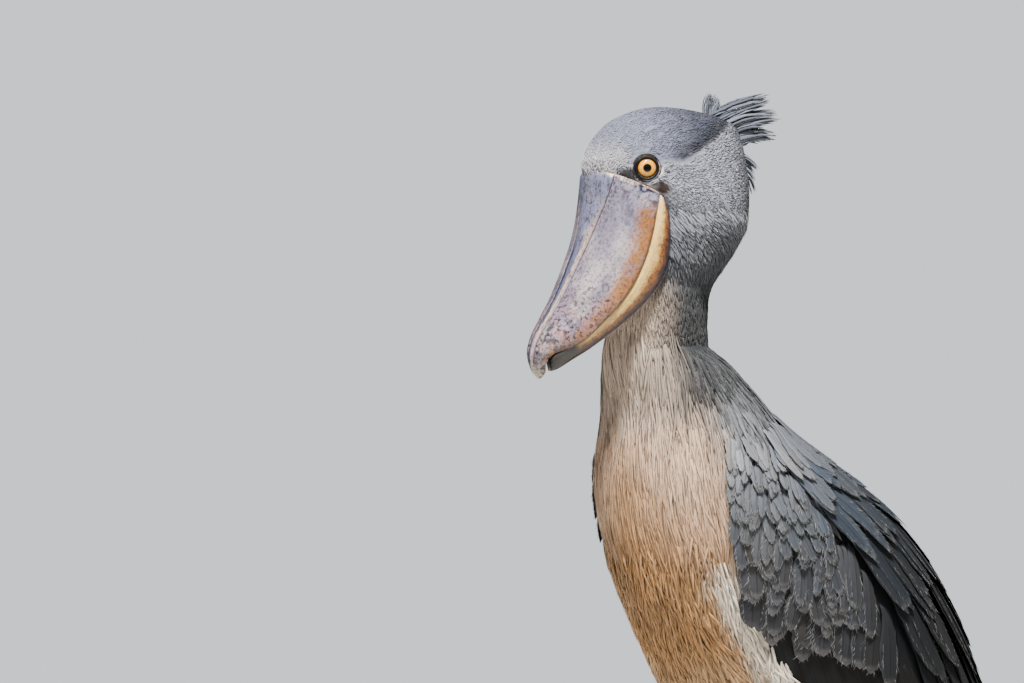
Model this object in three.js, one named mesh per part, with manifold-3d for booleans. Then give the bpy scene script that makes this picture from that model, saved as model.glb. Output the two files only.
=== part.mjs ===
// A shoebill standing at rest, life size, in millimetres, +Z up.
// The bird faces -Y, its left side is +X, and it stands on its toes on the plane Z = 0.
// "forward" is measured along -Y from a line between the feet, and the head is turned a little
// to the bird's right. Feathers are closed vanes, rooted in the piece that they grow from.
import * as THREE from "three";
import { mergeVertices } from "three/addons/utils/BufferGeometryUtils.js";
import Module from "manifold-3d";

const wasm = await Module();
wasm.setup();

// Driving dimensions
const GAP = 0.3; // between neighbouring pieces
const EYE_HEIGHT = 1134.5; // of the line through the two eyes
const EYE_FORWARD = 209;
const EYEBALL = { forward: -5, side: 39, up: -2.6, radius: 14.5 }; // centre of each eyeball
// Lids: radius of the opening, radius and half thickness of the rim, how far the rim stands out
// from the centre of the eyeball, and how many degrees ahead of straight sideways the eye looks.
const LIDS = { opening: 10.8, rim: 12.1, thick: 2.3, rimOut: 8.1, ahead: 24 };
const HEAD_TURN = 10; // degrees to the bird's right
const NECK_TOP = 1030;
const NECK_END = 0.7; // station of the body where the neck meets the torso
const TORSO_END = 9.3; // station of the body where the torso meets the tail
const WING_DEPTH = 13; // of a folded wing at the flank
const RUMP_INSET = 16; // of the rear end of the torso under the feathers of the back
const WING_MIDDLE = 1; // how near the middle of the back a wing comes
const LEG_SPREAD = 64; // of each foot from the middle
const FOOT_FORWARD = 8;
const ANKLE_TOP = 33; // height where the shank meets the foot

// Body stations from the base of the neck to the tips of the tail:
// breast or belly point (forward, height), back point (forward, height), half width.
const BODY = [
  [220, 950, 104, 950, 58],
  [210, 880, 50, 897, 100],
  [213, 805, 10, 862, 122],
  [203, 738, -49, 828, 134],
  [175, 668, -112, 792, 139],
  [138, 603, -167, 741, 141],
  [98, 541, -210, 686, 139],
  [40, 484, -246, 626, 131],
  [-50, 450, -273, 571, 114],
  [-135, 444, -294, 529, 92],
  [-215, 432, -315, 487, 72],
  [-328, 402, -347, 432, 42],
];

// Neck sections: height, sideways place, forward place, half depth, half width.
const NECK = [
  [NECK_TOP, 10, 152, 57, 57],
  [1003, 6, 162, 57, 55],
  [975, 3, 164, 57, 56],
];

// Head sections, level with the eye line as height 0: height, forward centre, half length, half width.
const HEAD = [
  [63.5, -46, 9, 7],
  [61, -49, 30, 21],
  [54, -54, 54, 36],
  [42, -56, 75, 47],
  [23, -52, 88, 57],
  [3, -50, 94, 62],
  [-16, -54, 92, 65],
  [-32, -66, 79, 68],
  [-47, -73, 70, 68],
  [-63, -74, 65, 66],
  [-84, -68, 61, 61],
  [NECK_TOP + GAP - EYE_HEIGHT, -58, 57, 57],
];

// Upper mandible, from its base to the hook: ridge (forward, height), mouth line (forward, height),
// half width of the ridge strip, largest half width, half width at the mouth line.
const UPPER_BILL = [
  [38, -5, -17, -28, 31, 48, 50],
  [41, -12, -14, -33, 32, 51, 53],
  [43, -36, -9, -48, 25, 54, 56],
  [47, -58, -4, -68, 17, 55, 57],
  [54, -80, 4, -94, 12, 54, 56],
  [65, -105, 17, -121, 9, 51, 54],
  [78, -132, 33, -144, 7, 47, 50],
  [93, -156, 49, -162, 6, 41, 44],
  [104, -173, 64, -178, 5.5, 34, 37],
  [110, -189, 78, -188, 5, 25, 27],
  [110.5, -201, 89, -193, 4.5, 15, 15],
  [107, -211, 94, -202, 3.5, 8, 7.5],
  [99, -219, 93, -212, 2, 4, 3.5],
];

// Lower mandible: mouth line (forward, height), lower edge (forward, height), half width at the
// mouth line, largest half width.
const LOWER_BILL = [
  [-15, -30, -20, -34, 52, 52],
  [-13, -33, -24, -40, 53, 55],
  [-9, -48, -29, -54, 55, 58],
  [-4, -68, -32, -76, 56, 58],
  [4, -94, -29, -106, 55, 56],
  [17, -121, -14, -131, 53, 53],
  [33, -144, 9, -154, 49, 48],
  [49, -162, 33, -173, 43, 41],
  [64, -178, 53, -188, 36, 33],
  [78, -188, 69, -199, 26, 23],
  [86, -193.5, 80, -208, 13, 11],
  [88.5, -200, 86, -211, 4, 4],
];

// Seeded draw between -1 and 1, the same on each run.
function makeDraw(seed) {
  let state = seed;
  return () => {
    state = (Math.imul(state, 1664525) + 1013904223) >>> 0;
    return state / 2147483648 - 1;
  };
}

const radians = (degrees) => (degrees * Math.PI) / 180;
const mix = (a, b, t) => a + (b - a) * t;
const ramp = (x, from, to) => {
  const t = Math.min(1, Math.max(0, (x - from) / (to - from)));
  return t * t * (3 - 2 * t);
};

// A row of numbers at a fractional place in a table, on a smooth curve through the rows.
function rowAt(rows, place) {
  const last = rows.length - 1;
  const clamped = Math.min(last, Math.max(0, place));
  const i = Math.min(last - 1, Math.floor(clamped));
  const t = clamped - i;
  const before = rows[Math.max(0, i - 1)];
  const after = rows[Math.min(last, i + 2)];
  return rows[i].map((p1, k) => {
    const p2 = rows[i + 1][k];
    const m1 = (p2 - before[k]) / (i > 0 ? 2 : 1);
    const m2 = (after[k] - p1) / (i + 2 <= last ? 2 : 1);
    const t2 = t * t;
    const t3 = t2 * t;
    return (2 * t3 - 3 * t2 + 1) * p1 + (t3 - 2 * t2 + t) * m1 + (3 * t2 - 2 * t3) * p2 + (t3 - t2) * m2;
  });
}

// A closed solid from points and triangles, turned so that its faces point out.
function closedSolid(points, triangles) {
  const vertProperties = new Float32Array(points.flatMap((p) => [p.x, p.y, p.z]));
  const build = (faces) =>
    new wasm.Manifold(
      new wasm.Mesh({ numProp: 3, vertProperties, triVerts: new Uint32Array(faces.flat()) }),
    );
  const solid = build(triangles);
  return solid.volume() > 0 ? solid : build(triangles.map(([a, b, c]) => [a, c, b]));
}

// A closed skin over rings of equal count, with a fan over each end.
function loft(rings) {
  const count = rings[0].length;
  const points = rings.flat();
  const triangles = [];
  for (let i = 0; i + 1 < rings.length; i++) {
    for (let j = 0; j < count; j++) {
      const a = i * count + j;
      const b = i * count + ((j + 1) % count);
      triangles.push([a, b, b + count], [a, b + count, a + count]);
    }
  }
  const middleOf = (ring) =>
    ring.reduce((sum, p) => sum.add(p), new THREE.Vector3()).divideScalar(ring.length);
  const first = points.push(middleOf(rings[0])) - 1;
  const end = points.push(middleOf(rings[rings.length - 1])) - 1;
  const lastRing = (rings.length - 1) * count;
  for (let j = 0; j < count; j++) {
    const k = (j + 1) % count;
    triangles.push([first, k, j], [end, lastRing + j, lastRing + k]);
  }
  return closedSolid(points, triangles);
}

// A vane from stations of left edge, upper face, right edge and lower face. Both faces are split
// into triangles alike, so that a thin vane doesn't cross itself.
function vane(stations) {
  const points = stations.flat();
  const triangles = [];
  const isEdge = (j) => j % 2 === 0;
  for (let i = 0; i + 1 < stations.length; i++) {
    for (let j = 0; j < 4; j++) {
      const a = i * 4 + j;
      const b = i * 4 + ((j + 1) % 4);
      if (isEdge(j)) triangles.push([a, b, b + 4], [a, b + 4, a + 4]);
      else triangles.push([a, b, a + 4], [b, b + 4, a + 4]);
    }
  }
  const last = (stations.length - 1) * 4;
  triangles.push([0, 3, 1], [1, 3, 2], [last, last + 1, last + 3], [last + 1, last + 2, last + 3]);
  return closedSolid(points, triangles);
}

// The largest closed surface of a solid.
function largest(solid) {
  return solid.decompose().reduce((best, body) => (body.volume() > best.volume() ? body : best));
}

function joined(solids) {
  return largest(wasm.Manifold.union(solids));
}

// A solid with its surface moved out, used to cut a neighbour clear of it.
function grown(solid, distance) {
  const geometry = geometryOf(solid);
  const place = geometry.getAttribute("position");
  const normal = geometry.getAttribute("normal");
  const points = [];
  for (let i = 0; i < place.count; i++) {
    const p = new THREE.Vector3().fromBufferAttribute(place, i);
    points.push(p.addScaledVector(new THREE.Vector3().fromBufferAttribute(normal, i), distance));
  }
  const index = geometry.getIndex().array;
  const triangles = [];
  for (let i = 0; i < index.length; i += 3) triangles.push([index[i], index[i + 1], index[i + 2]]);
  return closedSolid(points, triangles);
}

function geometryOf(solid) {
  const mesh = solid.getMesh();
  const geometry = new THREE.BufferGeometry();
  geometry.setAttribute("position", new THREE.BufferAttribute(new Float32Array(mesh.vertProperties), 3));
  geometry.setIndex(new THREE.BufferAttribute(new Uint32Array(mesh.triVerts), 1));
  const merged = mergeVertices(geometry, 1e-4);
  merged.computeVertexNormals();
  return merged;
}

// A ring of points at equal angles: at(angle) gives each point.
function ring(count, at) {
  return Array.from({ length: count }, (_, j) => at((2 * Math.PI * j) / count));
}

// Place on the body: station, angle from the back (0) over the left side (90) to the belly (180),
// and height over the outer line of the plumage.
function bodyPoint(station, degrees, height = 0) {
  const [bellyForward, bellyHeight, backForward, backHeight, half] = rowAt(BODY, station);
  const centre = new THREE.Vector3(0, -(bellyForward + backForward) / 2, (bellyHeight + backHeight) / 2);
  const back = new THREE.Vector3(0, -backForward, backHeight);
  const depth = back.distanceTo(centre);
  const toBack = back.sub(centre).divideScalar(depth);
  const angle = radians(degrees);
  return centre
    .addScaledVector(toBack, (depth + height) * Math.cos(angle))
    .add(new THREE.Vector3((half + height) * Math.sin(angle), 0, 0));
}

// How far the torso lies under the outer line, which leaves room for the folded wings. The step
// grows between two stations and fades out between two angles.
const UNDER_WING = { stations: [1.8, 3.2], angles: [133, 152] };
function torsoInset(station, degrees) {
  const side = Math.abs(degrees > 180 ? 360 - degrees : degrees);
  const underWing = ramp(station, ...UNDER_WING.stations) * (1 - ramp(side, ...UNDER_WING.angles));
  return WING_DEPTH * underWing + RUMP_INSET * ramp(station, 7.6, TORSO_END);
}

const torsoPoint = (station, degrees) =>
  bodyPoint(station, degrees, -torsoInset(station, degrees));

// Place on the head: forward, to the bird's left and up from the middle of the eye line.
const headGroup = new THREE.Group();
headGroup.position.set(0, -EYE_FORWARD, EYE_HEIGHT);
headGroup.rotation.z = -radians(HEAD_TURN);
headGroup.updateMatrixWorld(true);
const headPoint = (forward, left, up) => new THREE.Vector3(left, -forward, up);

function moved(solid, matrix) {
  return solid.transform(matrix.elements);
}

// A feather laid on a surface from one place on it to another. lie gives the height of its root
// and tip over the surface, width its widest, roll the slope of its face from edge to edge.
const ROOT_RISE = 0.4; // power of the rise from the root, which leaves the surface steeply
const VANE_WIDEST = 0.7; // share of the length where a vane is widest
const VANE_ROOT = 0.6; // share of the width at the root
const TIP_THICKNESS = 0.4; // share of the thickness at the tip
function vaneShape(t, point) {
  if (t < VANE_WIDEST) return mix(VANE_ROOT, 1, t / VANE_WIDEST);
  return mix(1, point, Math.pow((t - VANE_WIDEST) / (1 - VANE_WIDEST), 1.4));
}

function surfaceVane(surface, { from, to, width, thickness, lie, roll, point, steps = 4 }) {
  const stations = [];
  const step = 0.02;
  for (let i = 0; i < steps; i++) {
    const t = i / (steps - 1);
    const s = mix(from[0], to[0], t);
    const angle = mix(from[1], to[1], t);
    const height = mix(lie[0], lie[1], Math.pow(t, ROOT_RISE));
    const here = surface(s, angle, height);
    const alongS = surface(s + step, angle, height).sub(here).divideScalar(step);
    const alongAngle = surface(s, angle + 1, height).sub(here);
    const normal = new THREE.Vector3().crossVectors(alongAngle, alongS).normalize();
    if (normal.dot(here.clone().sub(surface(s, angle, height - 1))) < 0) normal.negate();
    const direction = alongS
      .clone()
      .multiplyScalar(to[0] - from[0])
      .addScaledVector(alongAngle, to[1] - from[1])
      .normalize();
    const side = new THREE.Vector3().crossVectors(normal, direction).normalize();
    const half = (width / 2) * vaneShape(t, point);
    const edge = (sign) => {
      const reach = side.clone().multiplyScalar(sign * half);
      const ss = alongS.lengthSq();
      const sa = alongS.dot(alongAngle);
      const aa = alongAngle.lengthSq();
      const rs = reach.dot(alongS);
      const ra = reach.dot(alongAngle);
      const det = ss * aa - sa * sa;
      const stepS = (rs * aa - ra * sa) / det;
      const stepAngle = (ra * ss - rs * sa) / det;
      return surface(s + stepS, angle + stepAngle, height + sign * roll * half);
    };
    const thick = (thickness / 2) * (i === steps - 1 ? TIP_THICKNESS : 1);
    stations.push([
      edge(1),
      here.clone().addScaledVector(normal, thick),
      edge(-1),
      here.clone().addScaledVector(normal, -thick),
    ]);
  }
  return vane(stations);
}

// A row of like feathers whose roots lie between two places. stack is the height of each over the
// one before it.
function featherRow(surface, draw, { first, last, count, reach, stack = 0, ...form }) {
  return Array.from({ length: count }, (_, i) => {
    const t = count > 1 ? i / (count - 1) : 0;
    const from = [mix(first[0], last[0], t) + 0.03 * draw(), mix(first[1], last[1], t) + draw()];
    const length = 1 + 0.05 * draw();
    const to = [
      from[0] + mix(reach[0][0], reach[1][0], t) * length,
      from[1] + mix(reach[0][1], reach[1][1], t) * length,
    ];
    const lie = form.lie.map((height) => height + stack * i);
    return surfaceVane(surface, { from, to, ...form, lie, width: form.width * (1 + 0.06 * draw()) });
  });
}

function mesh(name, solid, colour, roughness) {
  const material = new THREE.MeshStandardMaterial({ color: colour, roughness, metalness: 0 });
  const made = new THREE.Mesh(geometryOf(solid), material);
  made.name = name;
  return made;
}

// Bill. Each section runs from the ridge over the side to the mouth line and closes underneath.
// Share of the height, and how far across the strip and then the side.
const BILL_SIDE = [
  [1, 0, 0],
  [1, 0.75, 0],
  [0.96, 1, 0],
  [0.96, 1, 0.1],
  [0.85, 1, 0.5],
  [0.6, 1, 0.84],
  [0.32, 1, 1],
];
const STRIP_ROUND = 0.0042; // drop of the strip at its edge, as a share of height, for each mm of half width
function upperBill() {
  const rings = UPPER_BILL.map(([ridgeF, ridgeU, mouthF, mouthU, strip, half, mouthHalf]) => {
    const at = (share, left) =>
      headPoint(mix(mouthF, ridgeF, share), left, mix(mouthU, ridgeU, share));
    const side = BILL_SIDE.map(([share, onStrip, onSide]) => [
      share - STRIP_ROUND * strip * onStrip * onStrip * share,
      onStrip * strip + onSide * (half - strip),
    ]);
    side.push([0.08, mouthHalf], [0, mouthHalf - 0.8], [0, mouthHalf * 0.5]);
    const left = side.map(([share, across]) => at(share, across));
    const right = side.slice(1).reverse().map(([share, across]) => at(share, -across));
    return [...left, ...right];
  });
  return loft(rings);
}

const JAW_SIDE = [
  [0, 0.5],
  [0, 0.97],
  [0.12, 1],
  [0.4, 1],
  [0.75, 0.94],
  [1, 0.76],
  [0.97, 0.4],
];
function lowerBill() {
  const rings = LOWER_BILL.map(([mouthF, mouthU, lowF, lowU, mouthHalf, half]) => {
    const down = new THREE.Vector2(lowF - mouthF, lowU - mouthU).normalize().multiplyScalar(GAP * 1.3);
    const at = (share, left) =>
      headPoint(mix(mouthF + down.x, lowF, share), left, mix(mouthU + down.y, lowU, share));
    const across = (share, part) => part * (share < 0.2 ? mouthHalf : half);
    const left = JAW_SIDE.map(([share, part]) => at(share, across(share, part)));
    const right = [...JAW_SIDE].reverse().map(([share, part]) => at(share, -across(share, part)));
    return [...left, ...right];
  });
  return loft(rings);
}

const HEAD_SIDES = 26;
function headForm() {
  const places = [0, 1, 1.6, 2.3, 3, 3.5, 4, 4.7, 5.4, 6.1, 7, 8, 9, 10, 11];
  return loft(
    places.map((place) => {
      const [up, centre, length, width] = rowAt(HEAD, place);
      return ring(HEAD_SIDES, (angle) =>
        headPoint(centre + length * Math.cos(angle), width * Math.sin(angle), up),
      );
    }),
  );
}

// Eye, in a frame whose Z axis is the line of sight, then set into the side of the head.
function eyeMatrix(side) {
  const sight = headPoint(Math.sin(radians(LIDS.ahead)), side * Math.cos(radians(LIDS.ahead)), 0);
  const turn = new THREE.Quaternion().setFromUnitVectors(new THREE.Vector3(0, 0, 1), sight);
  const centre = headPoint(EYEBALL.forward, side * EYEBALL.side, EYEBALL.up);
  return new THREE.Matrix4().compose(centre, turn, new THREE.Vector3(1, 1, 1));
}

function solidOf(geometry) {
  geometry.deleteAttribute("normal");
  geometry.deleteAttribute("uv");
  const merged = mergeVertices(geometry, 1e-4);
  const place = merged.getAttribute("position");
  const points = Array.from({ length: place.count }, (_, i) =>
    new THREE.Vector3().fromBufferAttribute(place, i),
  );
  const index = merged.getIndex().array;
  const triangles = [];
  for (let i = 0; i < index.length; i += 3) {
    const [a, b, c] = index.slice(i, i + 3);
    if (a !== b && b !== c && a !== c) triangles.push([a, b, c]);
  }
  return closedSolid(points, triangles);
}

const EYE_SIDES = 14;
const eyeball = (side) =>
  moved(solidOf(new THREE.SphereGeometry(EYEBALL.radius, EYE_SIDES, 8)), eyeMatrix(side));

function lidOpening(side) {
  const length = 2 * EYEBALL.radius;
  const tube = new THREE.CylinderGeometry(LIDS.opening, LIDS.opening, length, EYE_SIDES);
  return moved(solidOf(tube.rotateX(Math.PI / 2).translate(0, 0, 0.7 * length)), eyeMatrix(side));
}

// The rim of the lids, a little longer than high, with its ends drawn out.
function lidRim(side) {
  const rim = new THREE.TorusGeometry(LIDS.rim, LIDS.thick, 5, EYE_SIDES).scale(1.1, 0.98, 1);
  return moved(solidOf(rim.translate(0, 0, LIDS.rimOut)), eyeMatrix(side));
}

// Crest: fans of narrow bowed vanes from the back of the crown, from a first to a last feather,
// each with its root and its tip on the head (forward, height) and spread to both sides.
const CREST = [
  { count: 11, root: [[-122, 56], [-141, 24]], tip: [[-172, 79], [-184, 24]], spread: 15, width: 7 },
  { count: 5, root: [[-106, 54], [-118, 52]], tip: [[-100, 74], [-127, 72]], spread: 9, width: 6 },
  { count: 3, root: [[-141, 6], [-144, -12]], tip: [[-158, -4], [-159, -28]], spread: 12, width: 8 },
];
const CREST_SINK = 9; // of each root under the skin
const CREST_BOW = 4; // of the middle of a vane over the line from root to tip
const CREST_SECTIONS = [
  { t: 0, width: 0.7, thick: 0.9 },
  { t: 0.35, width: 1, thick: 1 },
  { t: 0.7, width: 0.85, thick: 0.8 },
  { t: 1, width: 0.15, thick: 0.3 },
];
const GOLDEN = 0.618; // spreads feathers evenly without a row

function crestLocks() {
  const draw = makeDraw(5);
  return CREST.flatMap(({ count, root, tip, spread, width }) =>
    Array.from({ length: count }, (_, i) => {
      const t = i / (count - 1);
      const across = (2 * ((i * GOLDEN) % 1) - 1) * spread;
      const place = ([first, last], k) => mix(first[k], last[k], t);
      const from = headPoint(place(root, 0), across * 0.5, place(root, 1));
      const to = headPoint(place(tip, 0) + 4 * draw(), across * 1.25, place(tip, 1) + 2 * draw());
      return lock(from, to, CREST_BOW + 2 * draw(), width);
    }),
  );
}

function lock(from, to, bow, width) {
  const along = to.clone().sub(from).normalize();
  const start = from.clone().addScaledVector(along, -CREST_SINK);
  const across = new THREE.Vector3(1, 0, 0).addScaledVector(along, -along.x).normalize();
  const up = new THREE.Vector3().crossVectors(along, across).normalize();
  if (up.z < 0) up.negate();
  return vane(
    CREST_SECTIONS.map((section) => {
      const rise = bow * Math.sin(Math.PI * section.t);
      const middle = start.clone().lerp(to, section.t).addScaledVector(up, rise);
      const half = (width / 2) * section.width;
      return [
        middle.clone().addScaledVector(across, half),
        middle.clone().addScaledVector(up, section.thick),
        middle.clone().addScaledVector(across, -half),
        middle.clone().addScaledVector(up, -section.thick),
      ];
    }),
  );
}

// Nostril: a slit in the groove beside the ridge strip.
const NOSTRIL = { forward: 36, side: 25.5, up: -38, length: 15, width: 2, depth: 5, lean: 14, splay: 16 };
function nostril(side) {
  const slit = new THREE.BoxGeometry(NOSTRIL.width, NOSTRIL.depth, NOSTRIL.length)
    .rotateX(-radians(NOSTRIL.lean))
    .rotateY(-side * radians(NOSTRIL.splay));
  const place = headPoint(NOSTRIL.forward, side * NOSTRIL.side, NOSTRIL.up);
  return solidOf(slit.translate(place.x, place.y, place.z));
}

// Neck and torso
const BODY_SIDES = 24;
function neckForm() {
  const upper = NECK.map(([height, x, forward, depth, half]) =>
    ring(BODY_SIDES, (angle) =>
      new THREE.Vector3(x + half * Math.sin(angle), -(forward - depth * Math.cos(angle)), height),
    ),
  );
  const lower = [0, 0.25, 0.5, NECK_END].map((station) =>
    ring(BODY_SIDES, (angle) => bodyPoint(station, THREE.MathUtils.radToDeg(angle))),
  );
  return loft([...upper, ...lower]);
}

const SEAM = 0.005; // of a station, which is about 0.3 mm
const TORSO_STEP = 0.6;
function torsoForm() {
  const places = [TORSO_END];
  for (let place = NECK_END + SEAM; place < TORSO_END - 0.3; place += TORSO_STEP) places.push(place);
  places.sort((a, b) => a - b);
  return loft(
    places.map((station) =>
      ring(BODY_SIDES, (angle) => torsoPoint(station, THREE.MathUtils.radToDeg(angle))),
    ),
  );
}

// Wing: a core shaped to the flank, from the middle of the back to a lower edge, given as station
// and angle, and the feathers in tiers on it.
const WING_LOWER_EDGE = [
  [2.3, 88],
  [2.9, 120],
  [3.6, 137],
  [4.6, 137],
  [5.4, 134],
  [6.2, 132],
  [7, 125],
  [7.8, 114],
  [8.5, 104],
];
const WING_CORE_ACROSS = 7;
const WING_CORE_FRONT = 34; // angle of its foremost upper corner
const WING_SKIN = 7; // of the core under the outer line of the plumage
const WING_CORE = { over: 6, under: 6, rim: 2 }; // of the faces from the torso under the wing
function wingPoint(station, degrees, height) {
  const point = bodyPoint(station, degrees, height);
  point.x = Math.max(WING_MIDDLE, point.x);
  return point;
}

function wingCore() {
  const outer = [];
  const inner = [];
  WING_LOWER_EDGE.forEach(([station, lower], i) => {
    const end = i === 0 || i === WING_LOWER_EDGE.length - 1;
    const rowOut = [];
    const rowIn = [];
    for (let j = 0; j < WING_CORE_ACROSS; j++) {
      const angle = mix(i === 0 ? WING_CORE_FRONT : 0, lower, j / (WING_CORE_ACROSS - 1));
      const rim = end || j === WING_CORE_ACROSS - 1;
      const under = -torsoInset(station, angle);
      const top = rim ? under + WING_CORE.rim : Math.min(-WING_SKIN, under + WING_CORE.over);
      rowOut.push(wingPoint(station, angle, top));
      rowIn.push(wingPoint(station, angle, under - WING_CORE.under));
    }
    outer.push(rowOut);
    inner.push(rowIn);
  });
  return slab(outer, inner);
}

// Tiers of wing feathers: where the first and the last of a row are rooted and how far each reaches,
// as station and angle, and the height of root and tip over the outer line of the plumage.
const WING_TIERS = [
  {
    first: [5.5, 134], last: [6.1, 108], count: 5,
    reach: [[5.1, -62], [3.6, -22]],
    width: 40,
    lie: [-10, -13],
    stack: 1.4,
    roll: 0.02,
  },
  {
    first: [4.6, 126], last: [5.9, 66], count: 7,
    reach: [[2.2, 1], [3.2, 5]],
    width: 44,
    lie: [-12, -3],
  },
  {
    first: [5.6, 54], last: [5.8, 16], count: 3,
    reach: [[3.7, 6], [4.2, 8]],
    width: 56,
    lie: [-12, -1.5],
  },
  {
    first: [3.5, 119], last: [4.9, 70], count: 7,
    reach: [[0.95, 16], [1.15, 12]],
    width: 48,
    lie: [-11, -0.5],
    steps: 3,
  },
  {
    first: [2.8, 112], last: [3.9, 68], count: 6,
    reach: [[0.85, 15], [1, 11]],
    width: 46,
    lie: [-11, 0],
    steps: 3,
  },
  {
    first: [2.4, 94], last: [2.9, 64], count: 3,
    reach: [[0.8, 13], [0.85, 9]],
    width: 46,
    lie: [-10, 0.5],
    steps: 3,
  },
  {
    first: [4.5, 54], last: [4.4, 16], count: 2,
    reach: [[2.2, 6], [2.3, 2]],
    width: 70,
    lie: [-11, 1],
  },
  {
    first: [3.4, 54], last: [3.3, 16], count: 2,
    reach: [[1.8, 6], [1.8, 2]],
    width: 70,
    lie: [-11, 2],
  },
  {
    first: [2.4, 54], last: [2.5, 24], count: 2,
    reach: [[1.4, 5], [1.4, 2]],
    width: 48,
    lie: [-10, 2.5],
    steps: 3,
  },
];
const WING_VANE = { thickness: 1.2, roll: 0.1, point: 0.25 };
function wingForm() {
  const draw = makeDraw(11);
  const feathers = WING_TIERS.flatMap((tier) => featherRow(wingPoint, draw, { ...WING_VANE, ...tier }));
  return [wingCore(), ...feathers];
}

// Breast plumes: rows of long narrow vanes that hang from the base of the neck.
const PLUME_ROWS = [
  { first: [0.95, 112], last: [0.95, 248], count: 9 },
  { first: [1.45, 118], last: [1.45, 242], count: 9 },
  { first: [1.95, 128], last: [1.95, 232], count: 8 },
  { first: [2.5, 150], last: [2.5, 210], count: 5 },
];
const PLUME = {
  reach: [[1.2, 5], [1.2, -5]],
  width: 26,
  thickness: 2,
  lie: [-5, 3],
  roll: 0.06,
  point: 0.12,
};
function plumes() {
  const draw = makeDraw(23);
  return PLUME_ROWS.flatMap((row) => featherRow(bodyPoint, draw, { ...PLUME, ...row }));
}

// Tail: a short root behind the torso and a closed fan of twelve feathers, the outer ones lower.
const TAIL = {
  count: 12,
  start: [205, 468], // behind the middle, height
  slope: 24, // degrees below level
  length: 178,
  shorter: 1.2, // of a feather than its inner neighbour
  fan: 4.4, // degrees between neighbours
  apart: 3.6, // between the roots of neighbours
  width: 30,
  thick: 1.5,
  step: 1.9, // drop from one feather to the next
};
const TAIL_INSET = 34; // of the root under the plumage at the rear end of the torso
const TAIL_ROOT = [
  // behind the middle, height, half width, half depth
  [248, 462, 34, 20],
  [272, 446, 34, 12],
  [290, 435, 30, 5],
];
const TAIL_SECTIONS = [
  // share of the length, share of the width
  [0.12, 0.5],
  [0.4, 0.8],
  [0.7, 1],
  [0.92, 0.9],
  [1, 0.45],
];
const TAIL_SIDES = 20;
function tailRoot() {
  const rings = TAIL_ROOT.map(([behind, height, half, deep]) =>
    ring(TAIL_SIDES, (angle) => {
      const rise = deep * Math.cos(angle);
      return new THREE.Vector3(half * Math.sin(angle), behind + 0.2 * rise, height + rise);
    }),
  );
  const base = ring(TAIL_SIDES, (angle) =>
    bodyPoint(TORSO_END + SEAM, THREE.MathUtils.radToDeg(angle), -TAIL_INSET),
  );
  return loft([base, ...rings]);
}

function tailFeather(place) {
  const slope = radians(TAIL.slope);
  const turn = radians(place * TAIL.fan);
  const up = new THREE.Vector3(0, Math.sin(slope), Math.cos(slope));
  const along = new THREE.Vector3(0, Math.cos(slope), -Math.sin(slope))
    .multiplyScalar(Math.cos(turn))
    .setX(Math.sin(turn));
  const across = new THREE.Vector3().crossVectors(up, along).normalize();
  const start = new THREE.Vector3(place * TAIL.apart, ...TAIL.start);
  start.addScaledVector(up, -Math.abs(place) * TAIL.step);
  const length = TAIL.length - TAIL.shorter * Math.abs(place);
  const tilt = Math.sign(place) * 0.5;
  return vane(
    TAIL_SECTIONS.map(([share, width]) => {
      const middle = start.clone().addScaledVector(along, length * share);
      const half = (TAIL.width / 2) * width;
      return [
        middle.clone().addScaledVector(across, half).addScaledVector(up, tilt),
        middle.clone().addScaledVector(up, TAIL.thick / 2),
        middle.clone().addScaledVector(across, -half).addScaledVector(up, -tilt),
        middle.clone().addScaledVector(up, -TAIL.thick / 2),
      ];
    }),
  );
}

function tailForm() {
  const places = Array.from({ length: TAIL.count }, (_, i) => i - (TAIL.count - 1) / 2);
  return [tailRoot(), ...places.map(tailFeather)];
}

// A closed plate between two grids of points.
function slab(outer, inner) {
  const rows = outer.length;
  const columns = outer[0].length;
  const points = [...outer.flat(), ...inner.flat()];
  const shift = rows * columns;
  const triangles = [];
  const quad = (a, b, c, d) => triangles.push([a, b, c], [a, c, d]);
  for (let i = 0; i + 1 < rows; i++) {
    for (let j = 0; j + 1 < columns; j++) {
      const a = i * columns + j;
      quad(a, a + 1, a + columns + 1, a + columns);
      quad(shift + a, shift + a + columns, shift + a + columns + 1, shift + a + 1);
    }
  }
  const wall = (a, b) => quad(b, a, a + shift, b + shift);
  for (let j = 0; j + 1 < columns; j++) {
    wall(j, j + 1);
    wall((rows - 1) * columns + j + 1, (rows - 1) * columns + j);
  }
  for (let i = 0; i + 1 < rows; i++) {
    wall((i + 1) * columns, i * columns);
    wall(i * columns + columns - 1, (i + 1) * columns + columns - 1);
  }
  return closedSolid(points, triangles);
}

// Legs, in the frame of one foot: section forward place, height, half depth, half width, sideways.
const THIGH = [
  [-30, 560, 20, 12, -24],
  [-20, 535, 46, 26, -17],
  [-8, 490, 62, 33, -12],
  [-2, 450, 54, 32, -3],
  [-4, 415, 37, 24, -1],
  [-9, 388, 23, 17, 0],
  [-13, 368, 16, 14, 0],
];
const SHANK = [
  [-13, 367.7, 10, 9.5, 0],
  [-16, 330, 8.5, 8, 0],
  [-19, 295, 10, 9.5, 0],
  [-21, 275, 14, 13, 0],
  [-21, 258, 15.5, 13.5, 0],
  [-18, 240, 12.5, 11, 0],
  [-14, 215, 9, 8.5, 0],
  [-7, 140, 8.5, 8, 0],
  [-2, 75, 9, 9, 0],
  [0, 48, 11, 12, 0],
  [0, ANKLE_TOP + GAP, 13, 15, 0],
];
const HUB = [
  [0, ANKLE_TOP, 13, 15, 0],
  [1, 24, 18, 19, 0],
  [2, 12, 21, 21, 0],
  [2, 3, 20, 20, 0],
  [2, 0, 18, 18, 0],
];
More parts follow.
